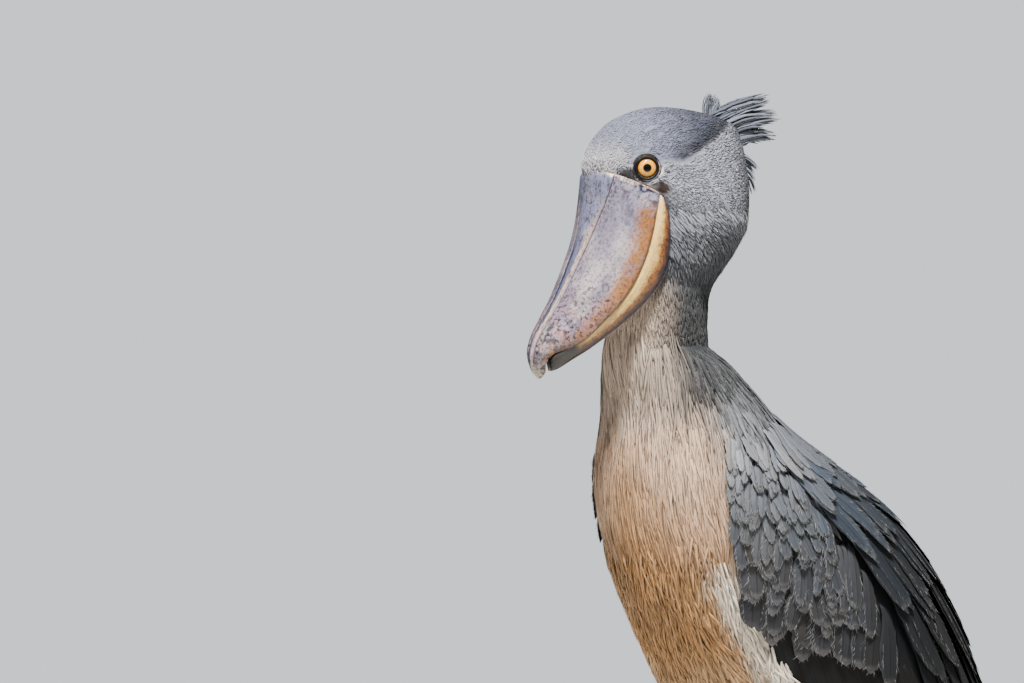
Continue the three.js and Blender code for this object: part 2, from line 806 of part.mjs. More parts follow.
function column(rows, sides) {
  return loft(
    rows.map(([forward, height, depth, half, sideways]) =>
      ring(sides, (angle) =>
        new THREE.Vector3(
          sideways + half * Math.sin(angle),
          -(forward + depth * Math.cos(angle)),
          height,
        ),
      ),
    ),
  );
}

// Toes: turn from straight ahead towards the outer side, length, number of bones.
const TOES = {
  inner: { turn: -20, length: 145, bones: 3 },
  middle: { turn: 6, length: 172, bones: 4 },
  outer: { turn: 38, length: 150, bones: 4 },
  hind: { turn: 176, length: 82, bones: 2 },
};
const TOE = {
  root: 12, // distance of the first section from the middle of the foot
  sides: 8,
  half: [9.5, 5.2], // half width at root and tip
  height: [9.5, 4.4], // half height at root and tip
  knuckle: [1.12, 0.9], // of the size at each joint and between joints
  sink: 0.7, // height of the centre as a share of the half height, which leaves a narrow flat sole
};
const CLAW = { length: 24, half: 3.6, halfHeight: 3.8, centre: [4.6, 0.9], tip: 0.12, steps: 3 };
function toeSection(turn, distance, height, half, halfHeight) {
  const ahead = new THREE.Vector3(Math.sin(radians(turn)), -Math.cos(radians(turn)), 0);
  const across = new THREE.Vector3(-ahead.y, ahead.x, 0);
  return ring(TOE.sides, (angle) => {
    const point = ahead.clone().multiplyScalar(distance).addScaledVector(across, half * Math.cos(angle));
    point.z = Math.max(0, height + halfHeight * Math.sin(angle));
    return point;
  });
}

function toe({ turn, length, bones }) {
  const steps = bones * 2 + 1;
  const rings = [];
  for (let i = 0; i <= steps; i++) {
    const t = i / steps;
    const knuckle = TOE.knuckle[i % 2];
    const half = mix(...TOE.half, t) * knuckle;
    const height = mix(...TOE.height, t) * knuckle;
    rings.push(toeSection(turn, mix(TOE.root, length, t), height * TOE.sink, half, height));
  }
  return loft(rings);
}

function claw({ turn, length }) {
  const rings = [];
  for (let i = 0; i <= CLAW.steps; i++) {
    const t = i / CLAW.steps;
    const size = mix(1, CLAW.tip, Math.pow(t, 0.9));
    const distance = length + GAP + CLAW.length * t;
    const height = mix(...CLAW.centre, t * t);
    rings.push(toeSection(turn, distance, height, CLAW.half * size, CLAW.halfHeight * size));
  }
  return loft(rings);
}

// The bird, piece by piece
const SLATE = 0x66707f;
const DARK_SLATE = 0x414b58;
const EARTH = 0x8f8478;
const HORN = 0xa89aa0;
const JAW = 0xc99a6b;
const GOLD = 0xe0a030;
const SHIN = 0x55585c;
const CLAW_BLACK = 0x2c2a2a;

const bird = new THREE.Group();
bird.add(headGroup);

const SIDES = [
  ["left", 1],
  ["right", -1],
];
const sided = (solid, sign) => (sign > 0 ? solid : solid.mirror([1, 0, 0]));
const eyes = { left: eyeball(1), right: eyeball(-1) };
const clearOfEyes = wasm.Manifold.union([grown(eyes.left, GAP), grown(eyes.right, GAP)]);
const upper = largest(upperBill().subtract(clearOfEyes));
const lower = largest(lowerBill().subtract(grown(upper, GAP)));
const bill = wasm.Manifold.union([grown(upper, GAP), grown(lower, GAP)]);
let head = joined([headForm(), ...crestLocks()]);
for (const [name, sign] of SIDES) {
  head = head.subtract(lidOpening(sign)).add(lidRim(sign));
  headGroup.add(mesh("eye_" + name, eyes[name], GOLD, 0.15));
}
head = largest(head.subtract(clearOfEyes).subtract(bill));
const upperCut = largest(upper.subtract(nostril(1)).subtract(nostril(-1)));
headGroup.add(mesh("head", head, SLATE, 0.9));
headGroup.add(mesh("bill_upper", upperCut, HORN, 0.5));
headGroup.add(mesh("bill_lower", lower, JAW, 0.5));

const neck = largest(neckForm().subtract(moved(bill, headGroup.matrixWorld)));
bird.add(mesh("neck", neck, EARTH, 0.95));
const torsoCore = torsoForm();
const neckAbove = grown(neckForm(), GAP);
const torso = joined([torsoCore, ...plumes()]);
bird.add(mesh("torso", largest(torso.subtract(neckAbove)), EARTH, 0.95));

const clearOfTorso = grown(torsoCore, GAP);
const wings = {};
for (const [name, sign] of SIDES) {
  const pieces = wingForm().map((solid) => sided(solid, sign));
  wings[name] = largest(joined(pieces).subtract(clearOfTorso));
  bird.add(mesh("wing_" + name, wings[name], DARK_SLATE, 0.8));
}
const clearOfWings = wasm.Manifold.union([grown(wings.left, GAP), grown(wings.right, GAP)]);
const tail = largest(joined(tailForm()).subtract(clearOfWings));
bird.add(mesh("tail", tail, DARK_SLATE, 0.8));

for (const [name, sign] of SIDES) {
  const leg = new THREE.Group();
  leg.position.set(sign * LEG_SPREAD, -FOOT_FORWARD, 0);
  leg.updateMatrixWorld(true);
  bird.add(leg);
  const torsoHere = moved(clearOfTorso, leg.matrixWorld.clone().invert());
  const wingHere = moved(grown(wings[name], GAP), leg.matrixWorld.clone().invert());
  const thigh = largest(sided(column(THIGH, 14), sign).subtract(torsoHere).subtract(wingHere));
  leg.add(mesh("thigh_" + name, thigh, SLATE, 0.9));
  leg.add(mesh("shank_" + name, sided(column(SHANK, 10), sign), SHIN, 0.7));
  const toes = Object.entries(TOES).map(([toeName, size]) => [toeName, toe(size), claw(size)]);
  const roots = wasm.Manifold.union(toes.map(([, solid]) => grown(solid, GAP)));
  const separate = [];
  toes.forEach(([toeName, solid, nail]) => {
    const others = separate.map((s) => grown(s, GAP));
    const clear = others.length ? largest(solid.subtract(wasm.Manifold.union(others))) : solid;
    separate.push(clear);
    leg.add(mesh(`toe_${toeName}_${name}`, sided(clear, sign), SHIN, 0.7));
    leg.add(mesh(`claw_${toeName}_${name}`, sided(nail, sign), CLAW_BLACK, 0.4));
  });
  const hub = largest(column(HUB, 12).subtract(roots));
  leg.add(mesh("foot_" + name, sided(hub, sign), SHIN, 0.7));
}

// The origin is on the floor under the middle of the whole part.
const extent = new THREE.Box3().setFromObject(bird);
const middle = extent.getCenter(new THREE.Vector3());
bird.position.set(-middle.x, -middle.y, -extent.min.z);

export default bird;
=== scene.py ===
"""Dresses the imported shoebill: one skin, feathers tuft by tuft and vane by vane, bill, eyes, legs.

Lengths are millimetres in the frame of the bird, which faces -Y with its left side to +X, until a
mesh is made; one place turns them to metres in the frame of the part.
"""

import logging
import math
from collections.abc import Callable
from dataclasses import dataclass, field, fields
from enum import Enum
from functools import partial

import bpy
import numpy as np
from mathutils import Matrix, Vector
from mathutils.bvhtree import BVHTree
from mathutils.kdtree import KDTree


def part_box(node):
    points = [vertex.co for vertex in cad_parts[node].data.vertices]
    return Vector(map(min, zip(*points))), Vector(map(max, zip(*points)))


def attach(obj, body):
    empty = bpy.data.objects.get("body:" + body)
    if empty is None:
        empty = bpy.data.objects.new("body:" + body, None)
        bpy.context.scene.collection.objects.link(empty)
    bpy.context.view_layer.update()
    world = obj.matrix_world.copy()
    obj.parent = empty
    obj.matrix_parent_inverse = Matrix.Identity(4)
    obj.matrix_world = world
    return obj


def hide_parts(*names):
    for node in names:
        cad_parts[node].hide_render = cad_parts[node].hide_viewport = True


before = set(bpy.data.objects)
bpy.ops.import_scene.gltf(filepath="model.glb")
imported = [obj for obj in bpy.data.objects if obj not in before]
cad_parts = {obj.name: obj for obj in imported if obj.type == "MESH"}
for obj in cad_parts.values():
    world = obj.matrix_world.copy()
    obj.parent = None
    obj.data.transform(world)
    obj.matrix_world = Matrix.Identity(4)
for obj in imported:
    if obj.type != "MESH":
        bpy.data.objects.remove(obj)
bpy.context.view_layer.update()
LOG = logging.getLogger("shoebill")

Array = np.ndarray
MM = 0.001

# Driving dimensions, the same as those of the solids
EYE_HEIGHT = 1134.5
EYE_FORWARD = 209.0
EYE_CENTRE = (-5.0, 39.0, -2.6)  # on the head: forward, left, up
EYE_RADIUS = 14.5
EYE_AHEAD = 24.0  # degrees that an eye looks ahead of straight sideways
HEAD_TURN = 10.0  # degrees to the bird's right
SHANK_BACK = 21.0  # how far the front of the ankle lies from the line between the feet

# Body stations from the base of the neck to the tips of the tail: breast or belly point (forward,
# height), back point (forward, height), half width.
BODY = np.array(
    [
        (220, 950, 104, 950, 58), (210, 880, 50, 897, 100), (213, 805, 10, 862, 122),
        (203, 738, -49, 828, 134), (175, 668, -112, 792, 139), (138, 603, -167, 741, 141),
        (98, 541, -210, 686, 139), (40, 484, -246, 626, 131), (-50, 450, -273, 571, 114),
        (-135, 444, -294, 529, 92), (-215, 432, -315, 487, 72), (-328, 402, -347, 432, 42),
    ],
    float,
)

# Neck sections: height, sideways place, forward place, half depth, half width.
NECK = (
    (1050, 12, 146, 56, 56), (1030, 10, 152, 57, 57), (1003, 6, 162, 57, 55),
    (975, 3, 164, 57, 56),
)

# Head sections above the eye line: height, forward centre, half length, half width.
HEAD = (
    (63.5, -46, 9, 7), (61, -49, 30, 21), (54, -54, 54, 36), (42, -56, 75, 47),
    (23, -52, 88, 57), (3, -50, 94, 62), (-16, -54, 92, 65), (-32, -66, 79, 68),
    (-47, -73, 70, 68), (-63, -74, 65, 66), (-84, -68, 61, 61), (-104.2, -58, 57, 57),
)


def smooth(x: Array, low: float, high: float) -> Array:
    """Rises smoothly from 0 at low to 1 at high.

    Args:
        x: values to weigh.
        low: where the rise starts.
        high: where it ends; it may be below low, and the weight then falls.

    Returns:
        Weights between 0 and 1.
    """
    t = np.clip((np.asarray(x, float) - low) / (high - low), 0, 1)
    return t * t * (3 - 2 * t)


def mix(a: Array, b: Array, t: Array) -> Array:
    """Blends from a to b by t."""
    return a + (b - a) * t


def unit(vectors: Array) -> Array:
    """Scales vectors to length one."""
    return vectors / np.maximum(np.linalg.norm(vectors, axis=-1, keepdims=True), 1e-9)


def dot(a: Array, b: Array) -> Array:
    """Scalar product along the last axis, which is kept."""
    return (a * b).sum(-1, keepdims=True)


def row_at(rows: Array, place: Array) -> Array:
    """Reads a table at fractional rows, on a smooth curve through them.

    Args:
        rows: the table.
        place: row numbers, with a fraction.

    Returns:
        One row of values for each place.
    """
    last = len(rows) - 1
    p = np.clip(np.asarray(place, float), 0, last)
    i = np.minimum(last - 1, np.floor(p).astype(int))
    t = (p - i)[..., None]
    p1, p2 = rows[i], rows[i + 1]
    m1 = (p2 - rows[np.maximum(0, i - 1)]) / np.where(i > 0, 2, 1)[..., None]
    m2 = (rows[np.minimum(last, i + 2)] - p1) / np.where(i + 2 <= last, 2, 1)[..., None]
    t2, t3 = t * t, t * t * t
    return (2 * t3 - 3 * t2 + 1) * p1 + (t3 - 2 * t2 + t) * m1 + (3 * t2 - 2 * t3) * p2 + (t3 - t2) * m2


def columns(rows: Array | tuple, steps: int) -> Array:
    """Columns of a table at evenly spread places from its first row to its last."""
    rows = np.array(rows, float)
    return row_at(rows, np.linspace(0, len(rows) - 1, steps)).T[:, :, None]


def full_turn(steps: int) -> Array:
    """Angles evenly spread round a circle."""
    return np.linspace(0, 2 * math.pi, steps, endpoint=False)


def body_point(station: Array, degrees: Array, height: Array = 0.0) -> Array:
    """Finds a place on the body.

    Args:
        station: place along the body, in rows of BODY.
        degrees: angle from the back over the left side (90) to the belly (180).
        height: height over the outer line of the plumage.

    Returns:
        Points in the frame of the bird.
    """
    station, degrees, height = np.broadcast_arrays(
        np.asarray(station, float), np.asarray(degrees, float), np.asarray(height, float)
    )
    low_f, low_z, back_f, back_z, half = np.moveaxis(row_at(BODY, station), -1, 0)
    zero = np.zeros_like(half)
    centre = np.stack([zero, -(low_f + back_f) / 2, (low_z + back_z) / 2], -1)
    back = np.stack([zero, -back_f, back_z], -1)
    depth = np.linalg.norm(back - centre, axis=-1)
    to_back = (back - centre) / depth[..., None]
    angle = np.radians(degrees)
    out = centre + to_back * ((depth + height) * np.cos(angle))[..., None]
    out[..., 0] += (half + height) * np.sin(angle)
    return out


HEAD_ROTATION = np.array(Matrix.Rotation(-math.radians(HEAD_TURN), 3, "Z"))
HEAD_PLACE = np.array([0, -EYE_FORWARD, EYE_HEIGHT])


def head_to_bird(points: Array) -> Array:
    """Turns places on the head (forward, left, up) to the frame of the bird."""
    local = np.stack([points[..., 1], -points[..., 0], points[..., 2]], -1)
    return local @ HEAD_ROTATION.T + HEAD_PLACE


def bird_to_head(points: Array) -> Array:
    """Turns points of the bird to places on the head (forward, left, up)."""
    local = (points - HEAD_PLACE) @ HEAD_ROTATION
    return np.stack([-local[..., 1], local[..., 0], local[..., 2]], -1)


SHIFT = np.array([0.0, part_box("shank_left")[0].y / MM + SHANK_BACK, 0.0])


def to_part(points: Array) -> Array:
    """Turns points of the bird in millimetres to metres in the frame of the part."""
    return (points + SHIFT) * MM


def speckle(points: Array, size: float, seed: int) -> Array:
    """Smooth random values between -1 and 1 with lumps of a given size.

    Args:
        points: places in millimetres.
        size: size of a lump in millimetres.
        seed: number of the pattern.

    Returns:
        One value for each point.
    """
    p = points / size
    cell = np.floor(p).astype(np.int64)
    t = p - cell
    t = t * t * (3 - 2 * t)
    total = np.zeros(points.shape[:-1])
    for corner in np.ndindex(2, 2, 2):
        c = cell + np.array(corner)
        h = (c[..., 0] * 73856093) ^ (c[..., 1] * 19349663) ^ (c[..., 2] * 83492791) ^ (seed * 2654435761)
        h = (h ^ (h >> 13)) * 1274126177
        value = ((h ^ (h >> 16)) & 0xFFFF) / 32767.5 - 1
        weight = np.prod(np.where(np.array(corner) == 1, t, 1 - t), axis=-1)
        total += value * weight
    return total


def linear(hex_colour: str) -> tuple[float, float, float]:
    """Turns an sRGB hex value to linear red, green and blue."""
    values = [int(hex_colour[i : i + 2], 16) / 255 for i in (1, 3, 5)]
    return tuple(v / 12.92 if v <= 0.04045 else ((v + 0.055) / 1.055) ** 2.4 for v in values)


def tone(hex_colour: str) -> Array:
    """A hex colour as a linear array."""
    return np.array(linear(hex_colour))


def painted(colour: Array | str, *coats: tuple[Array | str, Array]) -> Array:
    """Lays coats of colour over one another.

    Args:
        colour: hex or linear colour under them.
        coats: hex or linear colour and strength of each, from the lowest up.

    Returns:
        Linear colours.
    """
    colour = tone(colour) if isinstance(colour, str) else colour
    for hue, strength in coats:
        hue = tone(hue) if isinstance(hue, str) else hue
        colour = mix(colour, hue, np.asarray(strength)[..., None])
    return colour


@dataclass
class Form:
    """Points and faces of one closed form, or of many, with what each point carries."""

    points: Array
    quads: Array
    tris: Array
    colour: Array
    marks: Array
    patch: Array

    @staticmethod
    def plain(points: Array, quads: Array, tris: Array, colour: Array, marks: Array | None = None) -> "Form":
        """A form without places on the bake map.

        Args:
            points: points in the frame of the bird.
            quads: faces of four corners.
            tris: faces of three corners.
            colour: linear colour of each point, or one for all.
            marks: three numbers of each point for the material.

        Returns:
            The form.
        """
        count = len(points)
        return Form(
            points,
            quads,
            tris,
            np.broadcast_to(colour, (count, 3)),
            np.zeros((count, 3)) if marks is None else marks,
            np.zeros((0, 2)),
        )

    @property
    def triangles(self) -> int:
        """Number of triangles."""
        return 2 * len(self.quads) + len(self.tris)


def joined(forms: list[Form]) -> Form:
    """Joins forms to one, with their faces renumbered."""
    starts = np.cumsum([0] + [len(f.points) for f in forms[:-1]])
    parts = {part.name: [getattr(f, part.name) for f in forms] for part in fields(Form)}
    for faces in ("quads", "tris"):
        parts[faces] = [f + start for f, start in zip(parts[faces], starts)]
    return Form(**{name: np.concatenate(values) for name, values in parts.items()})


def mirrored(form: Form) -> Form:
    """The same form on the bird's other side."""
    points = form.points * np.array([-1, 1, 1])
    patch = form.patch * np.array([-1, 1]) + np.array([1, 0]) if len(form.patch) else form.patch
    return Form(points, form.quads[:, ::-1], form.tris[:, ::-1], form.colour, form.marks, patch)


def make_piece(
    name: str, form: Form, material: bpy.types.Material, stands_for: tuple[str, ...] = ()
) -> bpy.types.Object:
    """Makes an object that rides on the part's one body.

    Args:
        name: name of the piece.
        form: its points and faces.
        material: its finish.
        stands_for: solids that it replaces.

    Returns:
        The object.
    """
    mesh = bpy.data.meshes.new(name)
    mesh.vertices.add(len(form.points))
    mesh.vertices.foreach_set("co", to_part(form.points).astype(np.float32).ravel())
    corners = np.concatenate([form.quads.ravel(), form.tris.ravel()]).astype(np.int32)
    mesh.loops.add(len(corners))
    mesh.loops.foreach_set("vertex_index", corners)
    starts = np.concatenate(
        [4 * np.arange(len(form.quads)), 4 * len(form.quads) + 3 * np.arange(len(form.tris))]
    ).astype(np.int32)
    mesh.polygons.add(len(starts))
    mesh.polygons.foreach_set("loop_start", starts)
    mesh.polygons.foreach_set("use_smooth", np.ones(len(starts), bool))
    mesh.update(calc_edges=True)
    colour = mesh.attributes.new("coat", "FLOAT_COLOR", "POINT")
    opaque = np.concatenate([form.colour, np.ones((len(form.points), 1))], axis=1)
    colour.data.foreach_set("color", opaque.astype(np.float32).ravel())
    marks = mesh.attributes.new("marks", "FLOAT_VECTOR", "POINT")
    marks.data.foreach_set("vector", form.marks.astype(np.float32).ravel())
    if len(form.patch):
        bake = mesh.uv_layers.new(name="OFBake")
        bake.uv.foreach_set("vector", form.patch[corners].astype(np.float32).ravel())
    mesh.materials.append(material)
    piece = bpy.data.objects.new(name, mesh)
    bpy.context.scene.collection.objects.link(piece)
    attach(piece, "root")
    if stands_for:
        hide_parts(*stands_for)
    LOG.info("%s: %d triangles", name, form.triangles)
    return piece


def ring_quads(rows: int, count: int, closed: bool = False) -> Array:
    """Faces of four corners between rings of equal count.

    Args:
        rows: number of rings.
        count: points of a ring.
        closed: whether the last ring meets the first.

    Returns:
        The faces.
    """
    j = np.arange(count)
    k = (j + 1) % count
    i = np.arange(rows if closed else rows - 1)[:, None]
    n = (i + 1) % rows
    return np.stack([i * count + j, i * count + k, n * count + k, n * count + j], -1).reshape(-1, 4)


def ring_loft(rings: Array) -> tuple[Array, Array, Array]:
    """A closed skin over rings of equal count.

    Args:
        rings: points, ring by ring.

    Returns:
        Points, faces of four corners and faces of three corners.
    """
    rows, count = rings.shape[:2]
    j = np.arange(count)
    k = (j + 1) % count
    points = np.concatenate([rings.reshape(-1, 3), rings[0].mean(0)[None], rings[-1].mean(0)[None]])
    first, end = rows * count, rows * count + 1
    last = (rows - 1) * count
    start_cap = np.stack([np.full(count, first), k, j], -1)
    end_cap = np.stack([np.full(count, end), last + j, last + k], -1)
    return points, ring_quads(rows, count), np.concatenate([start_cap, end_cap])


def outward(points: Array, quads: Array, tris: Array) -> tuple[Array, Array, Array]:
    """Turns all faces round if the form they close is inside out."""
    both = np.concatenate([quads[:, :3], quads[:, [0, 2, 3]], tris])
    a, b, c = points[both[:, 0]], points[both[:, 1]], points[both[:, 2]]
    if (a * np.cross(b, c)).sum() < 0:
        return points, quads[:, ::-1], tris[:, ::-1]
    return points, quads, tris


def lofted(rings: Array, colour: Array | float = 0.0) -> Form:
    """A closed form over rings, of one colour, with its faces outward."""
    return Form.plain(*outward(*ring_loft(rings)), colour)


class Section(Enum):
    """Cross-section of a vane: across from edge to edge, and up over the middle line."""

    TUFT = ((-1.0, 0.0), (0.0, 1.0), (1.0, 0.0))
    PLUME = ((-1.0, 0.0), (0.0, 1.0), (1.0, 0.0), (0.0, -0.4))
    FEATHER = ((-1.0, 0.0), (-0.45, 0.75), (0.0, 1.0), (0.45, 0.75), (1.0, 0.0), (0.0, -0.4))
    BROAD = (
        (-1.0, 0.0), (-0.8, 0.35), (-0.4, 0.6), (-0.05, 0.7), (0.0, 1.3), (0.05, 0.7), (0.4, 0.6),
        (0.8, 0.35), (1.0, 0.0), (0.5, -0.4), (-0.5, -0.4),
    )


REAL = (0.004, 0.95)  # the darkest and the lightest that a real surface is
PATCH = 0.003  # width of a vane's patch on the bake map
MOST = 185000  # triangles of one piece of the coat


def vane_forms(
    grid: Array, tip: Array, colour: Array, across: Array, along: Array, chance: Array, patch: Array
) -> Form:
    """Closes vanes of one kind.

    Args:
        grid: points as vane, station and place on the cross-section.
        tip: the end point of each vane.
        colour: linear colour of each vane.
        across: place of each point of the cross-section, from -1 to 1.
        along: place of each station, from 0 to 1.
        chance: a random number of each vane.
        patch: place of each vane's root on the bake map.

    Returns:
        All vanes as one form.
    """
    count, stations, corners = grid.shape[:3]
    stride = stations * corners + 1
    points = np.concatenate([grid.reshape(count, -1, 3), tip[:, None]], axis=1)
    j = np.arange(corners)
    k = (j + 1) % corners
    end = (stations - 1) * corners
    tip_faces = np.stack([end + j, end + k, np.full(corners, stride - 1)], -1)
    root_faces = np.array([(0, c + 1, c) for c in range(1, corners - 1)])
    tris = np.concatenate([tip_faces, root_faces])
    _, quads, tris = outward(points[0] - points[0].mean(0), ring_quads(stations, corners), tris)
    starts = (np.arange(count) * stride)[:, None, None]
    place_across = np.concatenate([np.tile(across, stations), [0.0]])
    place_along = np.concatenate([np.repeat(along, corners), [1.0]])
    marks = np.empty((count, stride, 3))
    marks[..., 0] = place_across
    marks[..., 1] = place_along
    marks[..., 2] = chance[:, None]
    spot = np.stack([place_across / 2, place_along - 0.5], -1) * PATCH
    return Form(
        points.reshape(-1, 3),
        (quads + starts).reshape(-1, 4),
        (tris + starts).reshape(-1, 3),
        np.repeat(colour, stride, axis=0),
        marks.reshape(-1, 3),
        (patch[:, None] + spot).reshape(-1, 2),
    )


@dataclass
class VaneShape:
    """Outline and section of a kind of vane."""

    section: Section
    stations: int
    thickness: float
    root: float = 0.5  # width at the root, as a share of the widest
    widest: float = 0.5  # place of the widest station
    bluntness: float = 0.5  # power of the curve to the tip: low is blunt, 1 is a straight point
    camber: float = 0.15  # drop of the edges, as a share of the half width
    ragged: float = 0.0  # unevenness of the edges, as a share of the half width

    def outline(self, along: Array) -> Array:
        """Half width along the vane, as a share of the widest."""
        rise = self.root + (1 - self.root) * smooth(along, 0, self.widest)
        fall = np.clip((along - self.widest) / (1 - self.widest), 0, 1)
        return rise * np.maximum(1 - fall**2, 0.0) ** self.bluntness

    def uneven(self, chance: Array, stations: int, across: Array) -> Array:
        """How far each edge stands out at each station, other on the left than on the right.

        Args:
            chance: a random number of each vane, which its draw starts from.
            stations: number of stations.
            across: places on the section.

        Returns:
            Factors for the width, as vane, station and place on the section.
        """
        if not self.ragged:
            return np.ones((len(chance), stations, len(across)))
        draw = np.random.default_rng(int(1e6 * chance.sum()))
        sides = draw.normal(size=(2, len(chance), stations, 1)) * self.ragged
        notch = draw.random((2, len(chance), stations, 1)) < 0.05
        sides = 1 + sides - 3 * self.ragged * notch
        return np.where(across < 0, sides[0], sides[1])

    def build(
        self, path: Array, normal: Array, width: Array, colour: Array, chance: Array, patch: Array
    ) -> Form:
        """Makes vanes along paths.

        Args:
            path: middle lines, as vane and station.
            normal: the outward direction at each station.
            width: widest width of each vane.
            colour: linear colour of each vane.
            chance: a random number of each vane.
            patch: place of each root on the bake map.

        Returns:
            The vanes as one form.
        """
        stations = path.shape[1]
        along = np.linspace(0, 1, stations)
        tangent = unit(np.gradient(path, axis=1))
        side = unit(np.cross(normal, tangent))
        up = unit(np.cross(tangent, side))
        half = width[:, None] / 2 * self.outline(along)
        section = np.array(self.section.value)
        reach = half[:, :-1, None] * section[:, 0] * self.uneven(chance, stations - 1, section[:, 0])
        thin = np.linspace(1, 0.35, stations)[:-1, None]
        bow = self.camber * half[:, :-1, None] * section[:, 0] ** 2
        lift = self.thickness / 2 * section[:, 1] * thin - bow
        grid = path[:, :-1, None] + side[:, :-1, None] * reach[..., None] + up[:, :-1, None] * lift[..., None]
        return vane_forms(grid, path[:, -1], colour, section[:, 0], along[:-1], chance, patch)


def even_patches(places: Array) -> Array:
    """Spreads places on the bake map over the whole map, with room for a patch at its border.

    Args:
        places: places on the unwrap of the whole bird.

    Returns:
        The places on the unwrap of this piece alone.
    """
    low, high = places.min(0), places.max(0)
    return PATCH + (places - low) / np.maximum(high - low, 1e-6) * (1 - 2 * PATCH)


def cut_across(form: Form, shape: VaneShape) -> list[Form]:
    """Shares vanes out, from the top down, over as few forms as the limit of triangles lets.

    Args:
        form: vanes of one kind.
        shape: their shape, which gives the number of points and faces of each.

    Returns:
        The forms.
    """
    stride = (shape.stations - 1) * len(shape.section.value) + 1
    count = len(form.points) // stride
    parts = math.ceil(form.triangles / MOST)
    if parts == 1:
        return [form]
    whole = {part.name: getattr(form, part.name) for part in fields(Form)}
    vanes = {name: values.reshape(count, -1, values.shape[-1]) for name, values in whole.items()}
    starts = (np.arange(count) * stride)[:, None, None]
    order = np.argsort(-vanes["points"][:, 0, 2], kind="stable")
    forms = []
    for chosen in np.array_split(order, parts):
        made = {name: values[chosen] for name, values in vanes.items()}
        for faces in ("quads", "tris"):
            made[faces] = made[faces] - starts[chosen] + starts[: len(chosen)]
        forms.append(Form(**{name: values.reshape(-1, values.shape[-1]) for name, values in made.items()}))
    return forms


def cells_of(index: Array, cells: int) -> Array:
    """Middles of numbered cells of a square grid on the bake map."""
    return np.stack([(index % cells + 0.5) / cells, (index // cells + 0.5) / cells], -1)


def unwrap(points: Array) -> Array:
    """Places on an unwrap of the bird: turn round its axis, and height."""
    axis_y = np.interp(points[..., 2], [420, 560, 800, 950, 1130], [200, 60, -110, -165, -165])
    turn = np.arctan2(points[..., 0], -(points[..., 1] - axis_y)) / (2 * math.pi) + 0.5
    return np.stack([turn, points[..., 2] / 1250], -1)


def fold_height(forward: Array) -> Array:
    """Height of the fold between the crown and the cheek, by place on the head."""
    return 4 + 0.55 * np.maximum(0, -39 - forward) - 0.12 * np.maximum(0, forward - 10)


def bare_face(head: Array) -> Array:
    """Distance from the bare skin that runs from the lore under the eye to the corner of the gape."""
    forward, left, up = head[..., 0], np.abs(head[..., 1]), head[..., 2]
    start, end = np.array([21.0, -8.0]), np.array([-19.0, -25.0])
    along = end - start
    place = np.stack([forward, up], -1) - start
    t = np.clip((place @ along) / (along @ along), 0, 1)
    return np.linalg.norm(place - t[..., None] * along, axis=-1) + 60 * (left < 26)


